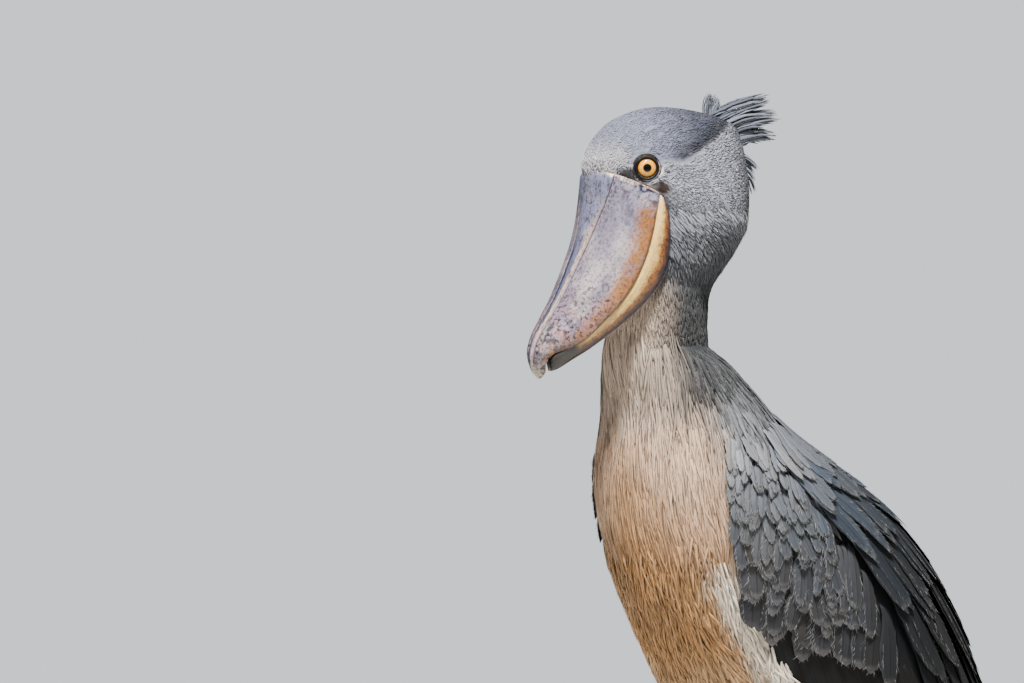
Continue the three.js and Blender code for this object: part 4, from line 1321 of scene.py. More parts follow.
@dataclass
class Wing:
    """The feathers of one folded wing."""

    side: int
    tiers: tuple[Tier, ...] = WING_TIERS
    stations: int = 15
    thickness: float = 0.8
    ragged: float = 0.06
    edge: float = 1.5  # least distance from the middle of the back
    barb_length: tuple[float, float] = (4.0, 11.0)
    barb_width: float = 0.42
    pale: str = "#a9adb2"

    def row(self, tier: Tier, draw: np.random.Generator, cell: int, cells: int) -> Form:
        """Makes one tier.

        Args:
            tier: its layout.
            draw: source of random numbers.
            cell: number of the tier's first patch on the bake map.
            cells: patches in a row of the bake map.

        Returns:
            Its feathers.
        """
        share = np.linspace(0, 1, tier.count)
        count = tier.count
        wobble = draw.normal(size=(count, 4)) * smooth(share, -0.05, 0.15)[:, None]
        root_s = mix(tier.first[0], tier.last[0], share) + 0.03 * tier.stray * wobble[:, 0]
        root_a = mix(tier.first[1], tier.last[1], share) + 0.5 * wobble[:, 1]
        reach_s = mix(tier.first_reach[0], tier.last_reach[0], share)
        reach_s = reach_s * (1 + 0.03 * tier.stray * wobble[:, 2])
        reach_a = mix(tier.first_reach[1], tier.last_reach[1], share) + tier.stray * wobble[:, 3]
        t = np.linspace(0, 1, self.stations)
        station = root_s[:, None] + reach_s[:, None] * t
        angle = root_a[:, None] + reach_a[:, None] * t
        level = mix(tier.lie[0], tier.lie[1], t**0.55) + tier.stack * np.arange(count)[:, None]
        level = level + 0.5 * draw.normal(size=(count, 1)) * t**2
        path = body_point(station, angle, level)
        over = body_point(station, angle, level + 4)
        path[..., 0] = np.maximum(path[..., 0], self.edge)
        normal = unit(over - path)
        tangent = unit(np.gradient(path, axis=1))
        across = np.cross(normal, tangent)
        normal = unit(normal + tier.roll * across)
        width = mix(*tier.width, share) * (1 + 0.05 * draw.normal(size=count))
        colour = mix(tone(tier.colour[0]), tone(tier.colour[1]), share[:, None])
        hue = 0.045 * draw.normal(size=(count, 1)) * np.array([-1, 0, 1])
        colour = np.clip(colour * (1 + 0.13 * draw.normal(size=(count, 1)) + hue), *REAL)
        patch = cells_of(cell + np.arange(count), cells)
        outline = {"widest": 0.6, "bluntness": tier.bluntness, "camber": 0.1, "ragged": self.ragged}
        shape = VaneShape(Section.BROAD, self.stations, self.thickness, **outline)
        worn = tier.worn * (0.35 + 0.65 * draw.random(count))
        vanes = shape.build(path, normal, width, colour, worn, patch)
        if not tier.barbs:
            return vanes
        return joined([vanes, self.loose_barbs(tier.barbs, shape, path, normal, width, colour, patch, draw)])

    def loose_barbs(
        self,
        count: int,
        shape: VaneShape,
        path: Array,
        normal: Array,
        width: Array,
        colour: Array,
        patch: Array,
        draw: np.random.Generator,
    ) -> Form:
        """Makes the pale hair-like barbs that stand out round the end of each vane.

        Args:
            count: barbs of each vane.
            shape: shape of the vanes.
            path: their middle lines.
            normal: their outward directions.
            width: their widths.
            colour: their colours.
            patch: their places on the bake map.
            draw: source of random numbers.

        Returns:
            The barbs.
        """
        vanes, steps = path.shape[:2]
        along = np.linspace(0.5, 0.985, count) + 0.02 * draw.normal(size=(vanes, count))
        along = np.clip(along, 0.45, 0.99)
        place = along * (steps - 1)
        i = np.minimum(place.astype(int), steps - 2)
        t = (place - i)[..., None]
        row = np.arange(vanes)[:, None]
        up = unit(mix(normal[row, i], normal[row, i + 1], t))
        ahead = unit(path[row, i + 1] - path[row, i])
        sign = np.where(np.arange(count) % 2, 1.0, -1.0)[:, None]
        side = unit(np.cross(up, ahead)) * sign
        half = (width[:, None] / 2 * shape.outline(along))[..., None]
        way = unit(side * (0.2 + 0.4 * draw.random((vanes, count, 1))) + ahead)
        start = mix(path[row, i], path[row, i + 1], t) + side * half * 0.7 - up * half * shape.camber * 0.5
        length = mix(*self.barb_length, draw.random((vanes, count, 1)) ** 2) * np.minimum(1, half / 9)
        share = np.linspace(0, 1, 4)[:, None]
        bend = side * length * 0.3 * draw.normal(size=(vanes, count, 1))
        line = start[:, :, None] + (way * length)[:, :, None] * share + bend[:, :, None] * share**2
        line = line + up[:, :, None] * (0.15 + 0.35 * share)
        line = line.reshape(vanes * count, 4, 3)
        facing = np.broadcast_to(up[:, :, None], (vanes, count, 4, 3)).reshape(-1, 4, 3)
        worn = 0.15 + 0.8 * draw.random((len(line), 1))
        pale = mix(np.repeat(colour, count, axis=0), tone(self.pale), worn)
        barb = VaneShape(Section.TUFT, 4, 0.2, root=0.8, widest=0.3, bluntness=0.9, camber=0.1)
        thin = np.full(len(line), self.barb_width)
        return barb.build(line, facing, thin, pale, draw.random(len(line)), np.repeat(patch, count, axis=0))

    def build(self, material: bpy.types.Material) -> None:
        """Makes the wing as one piece, in place of its solid."""
        draw = np.random.default_rng(40 + self.side)
        total = sum(tier.count for tier in self.tiers)
        cells = math.ceil(math.sqrt(total))
        forms, cell = [], 0
        for tier in self.tiers:
            forms.append(self.row(tier, draw, cell, cells))
            cell += tier.count
        form = joined(forms)
        name = "left" if self.side > 0 else "right"
        if self.side < 0:
            form = mirrored(form)
        make_piece("wing_feathers_" + name, form, material, ("wing_" + name,))


@dataclass
class Tail:
    """Twelve tail feathers in a closed fan."""

    count: int = 12
    start: tuple[float, float] = (205.0, 468.0)
    slope: float = 24.0
    length: float = 178.0
    shorter: float = 1.2
    fan: float = 4.4
    apart: float = 3.6
    width: float = 33.0
    step: float = 1.9
    stations: int = 12
    colour: str = "#20242b"

    def build(self, material: bpy.types.Material) -> None:
        """Makes the fan as one piece, in place of its solid."""
        place = np.arange(self.count) - (self.count - 1) / 2
        slope = math.radians(self.slope)
        up = np.array([0, math.sin(slope), math.cos(slope)])
        turn = np.radians(place * self.fan)[:, None]
        down = np.array([0, math.cos(slope), -math.sin(slope)])
        along = np.cos(turn) * down + np.sin(turn) * np.array([1.0, 0, 0])
        start = np.stack([place * self.apart, 0 * place + self.start[0], 0 * place + self.start[1]], -1)
        start = start - np.abs(place)[:, None] * self.step * up
        length = self.length - self.shorter * np.abs(place)
        t = np.linspace(0, 1, self.stations)
        path = start[:, None] + along[:, None] * (length[:, None] * t)[..., None]
        path = path + up * (2.5 * np.sin(math.pi * t))[:, None]
        aside = 0.08 * np.sign(place)[:, None, None] * np.array([1.0, 0, 0])
        normal = np.broadcast_to(up, path.shape) + aside
        draw = np.random.default_rng(77)
        patch = cells_of(np.arange(self.count), 4)
        colour = tone(self.colour) * (1 + 0.05 * draw.normal(size=(self.count, 1)))
        outline = {"root": 0.45, "widest": 0.75, "bluntness": 0.3, "camber": 0.04}
        shape = VaneShape(Section.BROAD, self.stations, 1.2, **outline)
        width = np.full(self.count, self.width)
        form = shape.build(path, unit(normal), width, colour, draw.random(self.count), patch)
        make_piece("tail_feathers", form, material, ("tail",))


@dataclass
class Fan:
    """A fan of crest feathers: roots and tips from first to last on the head (forward, height)."""

    bundles: int
    count: int  # feathers of a bundle
    root: tuple[tuple[float, float], tuple[float, float]]
    tip: tuple[tuple[float, float], tuple[float, float]]
    spread: float
    width: float


@dataclass
class Crest:
    """The short shaggy crest at the back of the crown, whose feathers hang together in bundles."""

    fans: tuple[Fan, ...] = (
        Fan(3, 80, ((-112, 57), (-138, 20)), ((-178, 84), (-188, 26)), 14, 3.6),
        Fan(2, 44, ((-100, 55), (-114, 54)), ((-98, 78), (-116, 80)), 7, 3.0),
        Fan(4, 26, ((-139, 12), (-142, -14)), ((-156, 2), (-157, -30)), 18, 3.6),
    )
    sink: float = 9.0
    bow: float = 3.0
    close: float = 0.38  # how far the tips of a bundle close up
    stations: int = 8
    colours: tuple[str, str] = ("#454c59", "#7c8492")

    def build(self, material: bpy.types.Material) -> None:
        """Makes the crest feather by feather."""
        draw = np.random.default_rng(5)
        forms = []
        share = np.linspace(0, 1, self.stations)
        outline = {"root": 0.45, "widest": 0.3, "bluntness": 0.9, "camber": 0.25, "ragged": 0.25}
        shape = VaneShape(Section.FEATHER, self.stations, 0.5, **outline)
        for fan in self.fans:
            count = fan.bundles * fan.count
            bundle = np.repeat(np.arange(fan.bundles), fan.count)
            t = (np.arange(count) + draw.random(count)) / count
            centre = (bundle + 0.5) / fan.bundles
            across = (2 * draw.random(count) - 1) * fan.spread
            middle = ((2 * draw.random(fan.bundles) - 1) * fan.spread * 0.6)[bundle]
            start = mix(*np.array(fan.root, float), t[:, None])
            end = mix(*np.array(fan.tip, float), mix(t, centre, self.close)[:, None])
            reach = (0.84 + 0.2 * draw.random(fan.bundles))[bundle] * (1 - 0.4 * draw.random(count) ** 2)
            end = start + (end - start) * reach[:, None]
            wide = mix(across, middle, self.close) * 1.2
            start = head_to_bird(np.stack([start[:, 0], 0.5 * across, start[:, 1]], -1))
            end = head_to_bird(np.stack([end[:, 0], wide, end[:, 1]], -1) + draw.normal(size=(count, 3)))
            along = unit(end - start)
            start = start - along * self.sink
            side = unit(np.array([1.0, 0, 0]) - along[:, :1] * along)
            up = np.cross(side, along)
            up = up * np.sign(up[:, 2:] + 1e-9)
            bow = (self.bow + 2.0 * draw.normal(size=fan.bundles))[bundle]
            path = start[:, None] + (end - start)[:, None] * share[:, None]
            path = path + up[:, None] * (bow[:, None] * np.sin(math.pi * share))[..., None]
            path[..., 2] -= (2.5 * draw.random(fan.bundles))[bundle][:, None] * share**3
            turned = np.sign(across)[:, None] * (1.0 + 0.3 * draw.normal(size=(count, 1)))
            normal = np.broadcast_to(unit(0.4 * up + turned * side)[:, None], path.shape)
            width = fan.width * (0.7 + 0.6 * draw.random(count))
            colour = mix(tone(self.colours[0]), tone(self.colours[1]), draw.random((count, 1)))
            forms.append(shape.build(path, normal, width, colour, draw.random(count), unwrap(start)))
        form = joined(forms)
        form.patch = even_patches(form.patch)
        make_piece("crest_feathers", form, material)


@dataclass
class Bill:
    """The great bill: upper mandible with its ridge strip and hook, and lower mandible."""

    upper: tuple = (
        (38, -5, -17, -28, 31, 48, 50), (41, -12, -14, -33, 32, 51, 53),
        (43, -36, -9, -48, 25, 54, 56), (47, -58, -4, -68, 17, 55, 57),
        (54, -80, 4, -94, 12, 54, 56), (65, -105, 17, -121, 9, 51, 54),
        (78, -132, 33, -144, 7, 47, 50), (93, -156, 49, -162, 6, 41, 44),
        (104, -173, 64, -178, 5.5, 34, 37), (110, -189, 78, -188, 5, 25, 27),
        (110.5, -201, 89, -193, 4.5, 15, 15), (107, -211, 94, -202, 3.5, 8, 7.5),
        (99, -219, 93, -212, 2, 4, 3.5),
    )
    lower: tuple = (
        (-15, -30, -20, -34, 52, 52), (-13, -33, -24, -40, 53, 55), (-9, -48, -29, -54, 55, 58),
        (-4, -68, -32, -76, 56, 58), (4, -94, -29, -106, 55, 56), (17, -121, -14, -131, 53, 53),
        (33, -144, 9, -154, 49, 48), (49, -162, 33, -173, 43, 41), (64, -178, 53, -188, 36, 33),
        (78, -188, 69, -199, 26, 23), (86, -193.5, 80, -208, 13, 11), (88.5, -200, 86, -211, 4, 4),
    )
    upper_side: tuple = (
        (1, 0, 0), (1, 0.75, 0), (0.965, 1, 0), (0.955, 1, 0.1), (0.85, 1, 0.5), (0.6, 1, 0.84),
        (0.32, 1, 1),
    )
    lower_side: tuple = ((0, 0.5), (0, 0.97), (0.12, 1), (0.4, 1), (0.75, 0.94), (1, 0.76), (0.97, 0.4))
    strip_round: float = 0.0042
    gap: float = 0.39
    groove: float = 1.3  # depth of the groove beside the ridge strip
    groove_width: float = 2.2
    steps: int = 170
    across: int = 64
    blue: str = "#7b7f9c"
    # navy of the painted shade on the ridge strip, over its own darker lower half
    navy: str = "#18203f"
    dark_blue: str = "#2a3048"
    lavender: str = "#857f92"
    pale: str = "#bdb4b4"
    pink: str = "#a97f80"
    orange: str = "#a36a28"
    brown: str = "#542f28"
    cream: str = "#e6c277"
    edge: str = "#cda886"
    hook: str = "#b5aa9b"
    purple: str = "#33242e"
    # black of the bill's lines and of the painted shadow on the front end of the lower mandible
    black: str = "#060706"

    def across_ring(self, table: tuple) -> list[Array]:
        """Columns of a table of one side of a ring, with straight lines between its rows."""
        t = np.linspace(0, len(table) - 1, self.across)
        return [np.interp(t, np.arange(len(table)), column) for column in np.array(table, float).T]

    def upper_form(self) -> Form:
        """Upper mandible, with its colours."""
        ridge_f, ridge_u, mouth_f, mouth_u, strip, half, mouth_half = columns(self.upper, self.steps)
        share, on_strip, on_side = self.across_ring(self.upper_side)
        rounded = share - self.strip_round * strip * on_strip**2 * share
        wide = on_strip * strip + on_side * (half - strip)
        beside = np.exp(-(((wide - strip) / self.groove_width) ** 2)) * smooth(strip, 3, 5)
        height = np.hypot(ridge_f - mouth_f, ridge_u - mouth_u)
        rounded = rounded - beside * self.groove / height
        low = np.array([(0.2, 1.0), (0.08, 1.0), (0.02, 0.997), (0.0, 0.985), (0.0, 0.7), (0.0, 0.35)])
        rounded = np.concatenate([rounded, low[:, 0] + 0 * height], axis=1)
        edge = np.concatenate([0.5 * (half + mouth_half), mouth_half * low[1:, 1]], axis=1)
        wide = np.concatenate([wide, edge], axis=1)
        forward, up = mix(mouth_f, ridge_f, rounded), mix(mouth_u, ridge_u, rounded)
        local, on, level = self.both_sides(forward, wide, up, wide - strip, rounded, skip=1)
        along = np.linspace(0, 1, self.steps)[:, None] + 0 * level
        colour = self.upper_colour(local, on, level, along)
        lower = smooth(along, 0.28, 0.6)
        ridge = smooth(on, 1.0, -1.0)
        fleck = (0.45 + 0.6 * lower + 0.45 * smooth(along, 0.22, 0.05)) * (1 - 0.7 * ridge)
        streak = 0.8 * ridge + (1 - ridge) * (0.32 + 0.5 * smooth(on, 16, 2) + 0.35 * smooth(along, 0.4, 0.1))
        marks = np.stack([fleck, np.minimum(streak, 0.85), along], -1).reshape(-1, 3)
        return self.close(local, colour, marks)

    @staticmethod
    def both_sides(
        forward: Array, left: Array, up: Array, *carried: Array, skip: int = 0
    ) -> tuple[Array, ...]:
        """Goes down the left half of each ring and back up the right half.

        Args:
            forward: places of the left half on the head.
            left: how far they lie to the left.
            up: their heights.
            carried: what else each of them carries.
            skip: points at the top that the halves share.

        Returns:
            Places round the rings, and what they carry.
        """
        local = np.stack([forward, left, up], -1)
        right = np.stack([forward, -left, up], -1)[:, skip:][:, ::-1]
        round_ring = [np.concatenate([half, half[:, skip:][:, ::-1]], axis=1) for half in carried]
        return np.concatenate([local, right], axis=1), *round_ring

    @staticmethod
    def close(local: Array, colour: Array, marks: Array) -> Form:
        """Closes rings on the head to a form in the frame of the bird."""
        points, quads, tris = ring_loft(head_to_bird(local))
        ends = [colour.reshape(-1, 3), colour[0].mean(0)[None], colour[-1].mean(0)[None]]
        marks = np.concatenate([marks, marks[:1], marks[-1:]])
        return Form.plain(*outward(points, quads, tris), np.concatenate(ends), marks)

    def upper_colour(self, local: Array, on: Array, level: Array, along: Array) -> Array:
        """Colour of the upper mandible.

        Args:
            local: places on the head.
            on: how far a place lies outside the edge of the ridge strip.
            level: share of the height, from the mouth line to the ridge.
            along: share of the length, from the base to the hook.

        Returns:
            Linear colours.
        """
        near = np.sign(local[..., 1])
        streak = speckle(local * np.array([0.2, 1.0, 0.2]), 2.2, 21)
        fine = speckle(local * np.array([0.6, 1.0, 0.45]), 2.1, 26)
        cloud = speckle(local, 17, 22)
        blotch = 0.7 * speckle(local, 7.5, 23) + 0.5 * speckle(local, 3.6, 24)
        # Navy over the lower ridge strip, strongest on the far side: painted shade where the strip turns from
        # the light, over the strip's own darker lower half.
        far = smooth(along, 0.2, 0.45) * (0.55 + 0.45 * smooth(near, 0.5, -0.5)) * smooth(on, -2, -5)
        lip = np.exp(-(((on + 1.8) / 1.0) ** 2)) * smooth(near, -0.5, 0.5) * smooth(along, 0.1, 0.3)
        strip = painted(
            self.blue,
            (self.pale, smooth(0.9 * streak + 0.4 * cloud, 0.0, 1.0)),
            (self.dark_blue, smooth(streak + 0.4 * fine, 0.05, 0.7) * 0.75),
            (self.navy, 0.9 * far),
            (self.edge, 0.8 * lip),
        )
        base = smooth(along, 0.42, 0.02) * (0.4 + smooth(level, 0.95, 0.3))
        speck = smooth(fine + 0.5 * blotch, 0.55, 0.0 - 0.2 * base)
        mouth = smooth(level + 0.09 * blotch, 0.5, 0.26) * smooth(along, 0.1, 0.2)
        mouth = mouth * (0.5 + 0.5 * smooth(blotch + 0.5 * fine, -0.5, 0.1))
        lower = smooth(along, 0.42, 0.62) * smooth(along, 0.95, 0.88)
        dark = lower * smooth(blotch - 0.4 * cloud + 0.4 * fine, -0.15, -0.6)
        seam = smooth(level, 0.34, 0.2) * lower * smooth(cloud + fine, -0.3, 0.5)
        warm = smooth(along, 0.66, 0.78) * smooth(along, 0.92, 0.84) * smooth(level, 0.75, 0.5)
        side = painted(
            self.lavender,
            (self.pale, 0.7 * smooth(cloud, -0.4, 0.7)),
            (self.dark_blue, 0.85 * base * smooth(fine + 0.6 * blotch, -0.1, 0.5)),
            (self.blue, 0.5 * base * speck),
            (self.orange, 0.9 * mouth),
            (self.pink, lower * smooth(blotch, -0.1, 0.5) * 0.8),
            (self.purple, 0.8 * dark),
            (self.brown, 0.6 * seam),
            (self.orange, 0.75 * warm * smooth(blotch, -0.5, 0.2)),
        )
        line = np.exp(-(((on - 3.0) / 0.9) ** 2)) * smooth(along, 0.95, 0.8)
        groove = np.exp(-(((on - 0.7) / 1.0) ** 2)) * (0.75 + 0.25 * smooth(along, 0.6, 0.2))
        mouth_line = smooth(level, 0.03, 0.012) * smooth(along, 0.02, 0.05)
        tip = painted(
            self.hook,
            (self.pale, smooth(streak + cloud, -0.3, 0.9)),
            (self.dark_blue, 0.6 * smooth(streak + 0.5 * blotch, 0.1, 0.6)),
        )
        colour = painted(
            strip,
            (side, smooth(on, 0.4, 1.6)),
            (self.edge, 0.35 * line),
            (self.black, groove * smooth(along, 0.93, 0.85)),
            (self.edge, 0.9 * smooth(along, 0.035, 0.02)),
            (self.black, 0.9 * mouth_line),
            (tip, smooth(along, 0.85, 0.92)),
        )
        return np.clip(colour, 0.003, REAL[1])

    def lower_form(self) -> Form:
        """Lower mandible, with its colours."""
        mouth_f, mouth_u, low_f, low_u, mouth_half, half = columns(self.lower, self.steps)
        height = np.maximum(np.hypot(low_f - mouth_f, low_u - mouth_u), 1)
        share, part = self.across_ring(self.lower_side)
        wide = part * np.where(share < 0.2, mix(mouth_half, half, share / 0.2), half)
        share = np.maximum(share, self.gap / height)
        forward, up = mix(mouth_f, low_f, share), mix(mouth_u, low_u, share)
        local, level = self.both_sides(forward, wide, up, share)
        along = np.linspace(0, 1, self.steps)[:, None] + 0 * level
        blotch = 0.6 * speckle(local, 9, 31) + 0.5 * speckle(local, 3.5, 32)
        # The front end of the lower mandible, under the hook of the upper one, is painted black as shadow.
        front = smooth(along + 0.02 * blotch, 0.7, 0.8)
        rim = smooth(level, 0.86, 0.97) * (1 - front) * smooth(along, 0.1, 0.2)
        colour = painted(
            self.cream,
            (self.orange, smooth(level + 0.12 * blotch, 0.2, 0.48)),
            (self.purple, smooth(level + 0.16 * blotch, 0.42, 0.72)),
            (self.lavender, 0.7 * smooth(along, 0.16, 0.02) * smooth(blotch, -0.4, 0.4)),
            (self.black, front),
            (self.pale, 0.7 * rim),
            (self.black, 0.85 * smooth(level, 0.03, 0.01)),
        )
        fleck = 0.2 + 0.7 * smooth(level, 0.15, 0.5)
        marks = np.stack([fleck, 0.3 + 0 * level, along], -1).reshape(-1, 3)
        return self.close(local, colour, marks)

    def build(self, material: bpy.types.Material) -> None:
        """Makes both mandibles, in place of their solids."""
        make_piece("upper_mandible", self.upper_form(), material, ("bill_upper",))
        make_piece("lower_mandible", self.lower_form(), material, ("bill_lower",))


@dataclass
class Eyes:
    """Eyeballs and the lids round them."""

    radius: float = EYE_RADIUS
    pupil: float = 4.3
    iris: float = 9.3
    opening: float = 9.7
    lid_out: float = 17.5
    rings: int = 90
    sides: int = 96
    lid_sides: int = 144
    black: str = "#040404"
    gold: str = "#e0a135"
    amber: str = "#8a4206"
    lid_black: str = "#040405"
    lavender: str = "#8f899c"
    cream: str = "#d8ccb2"
    lore: str = "#232327"
    plumage: str = "#7c8190"

    def centre(self, side: int) -> Array:
        """Middle of an eyeball."""
        forward, left, up = EYE_CENTRE
        return head_to_bird(np.array([forward, side * left, up]))

    def sight(self, side: int) -> Array:
        """Direction that an eye looks in."""
        ahead = math.radians(EYE_AHEAD)
        return head_to_bird(np.array([math.sin(ahead), side * math.cos(ahead), 0])) - HEAD_PLACE

    def axes(self, side: int) -> tuple[Array, Array, Array]:
        """Line of sight, direction to the front and direction up, as seen on the eye."""
        sight = self.sight(side)
        front = unit(head_to_bird(np.array([1.0, 0, 0])) - HEAD_PLACE)
        front = unit(front - (front @ sight) * sight)
        up = np.array([0, 0, 1.0])
        return sight, front, unit(up - (up @ sight) * sight - (up @ front) * front)

    def ball(self, side: int) -> Form:
        """An eyeball with iris and pupil."""
        sight, front, up = self.axes(side)
        polar = np.linspace(0.004, math.pi - 0.004, self.rings)[:, None]
        turn = full_turn(self.sides)
        out = np.cos(polar)[..., None] * sight
        ring = np.cos(turn)[..., None] * front + np.sin(turn)[..., None] * up
        points = self.centre(side) + self.radius * (out + np.sin(polar)[..., None] * ring)
        r = self.radius * np.sin(polar) + 100 * (polar > 1.6) + 0 * turn
        fibre = speckle(np.stack([turn * 9 + 0 * r, r * 0.5, 0 * r], -1), 1.0, 41)
        rim, ring = smooth(r, self.iris - 2, self.iris), smooth(r, self.pupil + 1, self.pupil)
        iris = painted(self.gold, (self.amber, rim * 0.7), (self.amber, ring * 0.5))
        iris = iris * (1 + 0.16 * fibre)[..., None]
        shown = smooth(r, self.pupil - 0.2, self.pupil + 0.2) * smooth(r, self.iris + 0.2, self.iris - 0.1)
        colour = painted(self.black, (iris, shown))
        points, quads, tris = ring_loft(points)
        colours = np.concatenate([colour.reshape(-1, 3), np.tile(tone(self.black), (2, 1))])
        return Form.plain(*outward(points, quads, tris), colours)

    def lids(self, side: int, skin: Surface) -> Form:
        """The rim of the lids with its folds, let into the skin.

        Args:
            side: 1 for the left eye, -1 for the right one.
            skin: the skin round it.

        Returns:
            A closed ring.
        """
        sight, front, up = self.axes(side)
        centre = self.centre(side)
        turn = full_turn(self.lid_sides)
        ring = np.cos(turn)[:, None] * front + np.sin(turn)[:, None] * up
        ground = []
        for direction in ring:
            start = Vector(centre + 80 * sight + self.lid_out * direction)
            hit = skin.tree.ray_cast(start, Vector(-sight))[0]
            ground.append((np.array(hit) - centre) @ sight if hit else 8.0)
        ground = np.array(ground)
        for _ in range(12):
            ground = (np.roll(ground, 1) + 2 * ground + np.roll(ground, -1)) / 4
        top = np.linspace(self.opening, self.lid_out, 34)[:, None]
        ball = math.sqrt(self.radius**2 - self.opening**2)
        rim = ball + 0.5 + 1.7 * np.sin(math.pi * smooth(top, self.opening - 1.0, 14.0)) ** 0.7
        height = mix(rim, ground + 0.1, smooth(top, 11.5, self.lid_out))
        fold = np.exp(-(((top - 15.6) / 0.8) ** 2)) * smooth(-np.cos(turn), -0.2, 0.6)
        around = np.stack([top + 0 * turn, 6 * turn + 0 * top, 0 * top + 0 * turn], -1)
        wrinkle = speckle(around, 0.9, 43 + side)
        height = height - 0.9 * fold + 0.28 * wrinkle * smooth(top, 11, 13) * smooth(top, 19, 17)
        under = np.array([(self.lid_out + 0.5, -3.0), (self.opening + 2.5, -4.0), (self.opening + 0.5, -2.4)])
        floor = np.stack([ground + under[0, 1], 0.5 * ground + 2, ball + under[2, 1] + 0 * ground])
        radii = np.concatenate([top[:, 0], under[:, 0]])[:, None]
        heights = np.concatenate([height, floor])
        points = centre + radii[..., None] * ring + heights[..., None] * sight
        quads = ring_quads(len(radii), self.lid_sides, closed=True)
        r = radii + 0 * turn
        behind, below = -np.cos(turn), -np.sin(turn)
        inner = smooth(r, 12.4, 12.9) * smooth(r, 14.2, 13.6) * smooth(0.8 * behind + 0.6 * below, 0.2, 0.6)
        crescent = smooth(r, 15.0, 15.5) * smooth(0.75 * behind + 0.65 * below, 0.3, 0.75)
        dark = smooth(r, 12.5, 14) * smooth(0.5 * below - 0.9 * behind, 0.35, 0.8)
        grey = smooth(r, 14.6, 16) * smooth(-below, -0.1, 0.4)
        colour = painted(
            self.lid_black,
            (self.lavender, inner),
            (self.cream, crescent),
            (self.lore, 0.95 * dark),
            (self.plumage, 0.9 * grey),
        )
        points, quads, tris = outward(points.reshape(-1, 3), quads, np.zeros((0, 3), int))
        return Form.plain(points, quads, tris, colour.reshape(-1, 3))

    def build(self, skin: Surface, eye: bpy.types.Material, lid: bpy.types.Material) -> None:
        """Makes eyeballs and lids."""
        for side, name in ((1, "left"), (-1, "right")):
            make_piece("eyeball_" + name, self.ball(side), eye, ("eye_" + name,))
            make_piece("eyelids_" + name, self.lids(side, skin), lid)


@dataclass
class Scales:
    """The small overlapping plates on shanks and toes."""

    spacing: float = 4.3
    length: float = 6.1
    width: float = 5.4
    top: float = 380.0
    colour: str = "#46484b"
    legs: Legs = field(default_factory=Legs)

    def build(self, skin: Surface, material: bpy.types.Material) -> None:
        """Lays the plates over the bare skin."""
        inside = (skin.points[:, 2] < self.top) & (skin.points[:, 2] > 1.2)
        inside &= np.abs(skin.points[:, 0]) > 8
        inside &= skin.points[:, 1] < 110
        roots = scatter(skin, self.spacing, 61, inside)
        side = np.sign(roots.points[:, 0])
        hub = np.stack([self.legs.spread * side, -self.legs.forward + 0 * side, 0 * side], -1)
        away = roots.points - hub
        away[:, 2] = 0
        away = unit(away)
        down = np.array([0, 0, -1.0])
        way = mix(np.broadcast_to(down, away.shape), away, smooth(roots.points[:, 2], 34, 20)[:, None])
        way = unit(way - dot(way, roots.normals) * roots.normals)
        shape = VaneShape(Section.FEATHER, 4, 0.7, root=0.75, widest=0.45, bluntness=0.4, camber=0.3)
        share = np.linspace(0, 1, shape.stations)
        path = roots.points[:, None] + way[:, None] * (self.length * share)[:, None]
        rise = mix(-0.35, 0.42, share**0.7)
        path = path + roots.normals[:, None] * rise[:, None]
        path[..., 2] = np.maximum(path[..., 2], 0.25)
        normal = np.broadcast_to(roots.normals[:, None], path.shape)
        draw = np.random.default_rng(62)
        colour = tone(self.colour) * (1 + 0.14 * draw.normal(size=(len(roots), 1)))
        width = self.width * (0.85 + 0.3 * roots.chance)
        form = shape.build(path, normal, width, np.clip(colour, 0.01, 1), roots.chance, unwrap(roots.points))
        form.points[:, 2] = np.maximum(form.points[:, 2], 0.05)
        form.patch = even_patches(form.patch)
        make_piece("leg_scales", form, material)


@dataclass
class Claws:
    """The claws, as long curved cones."""

    length: float = 24.0
    half: float = 3.6
    deep: float = 3.8
    centre: tuple[float, float] = (4.6, 0.9)
    tip: float = 0.12
    gap: float = 0.3
    legs: Legs = field(default_factory=Legs)
    colour: str = "#2c2a2a"

    def form(self, toe: Toe) -> Form:
        """The claw of one toe of the left foot."""
        t = np.linspace(0, 1, 26)
        size = mix(1, self.tip, t**0.9)
        distance = toe.length + self.gap + self.length * t
        rings = toe.section(distance, mix(*self.centre, t * t), self.half * size, self.deep * size, 24)
        return lofted(self.legs.place(rings), tone(self.colour))

    def build(self, material: bpy.types.Material) -> None:
        """Makes all claws."""
        for name, toe in self.legs.toes.items():
            left = self.form(toe)
            make_piece(f"nail_{name}_left", left, material, (f"claw_{name}_left",))
            right = mirrored(left)
            make_piece(f"nail_{name}_right", right, material, (f"claw_{name}_right",))


MULTIPLY = {"operation": "MULTIPLY"}
MULTIPLY_ADD = {"operation": "MULTIPLY_ADD"}
SCALE = {"operation": "SCALE"}
Adder = Callable[..., bpy.types.Node]  # add_node for one material


def add_node(
    tree: bpy.types.NodeTree, kind: str, settings: dict | None = None, inputs: dict | None = None
) -> bpy.types.Node:
    """Adds a node with its settings and links.

    Args:
        tree: the material's nodes.
        kind: Blender's name of the node, after ShaderNode.
        settings: values of its properties by name.
        inputs: by name or number of an input, the node or socket that feeds it, or its value.

    Returns:
        The node.
    """
    node = tree.nodes.new("ShaderNode" + kind)
    for name, value in (settings or {}).items():
        setattr(node, name, value)
    for name, value in (inputs or {}).items():
        if isinstance(value, bpy.types.Node):
            value = value.outputs[0]
        if isinstance(value, bpy.types.NodeSocket):
            tree.links.new(value, node.inputs[name])
        else:
            node.inputs[name].default_value = value
    return node


def scale_of(size_mm: float) -> float:
    """Scale of a noise whose lumps are a number of millimetres across, for places in metres."""
    return 1000 / size_mm


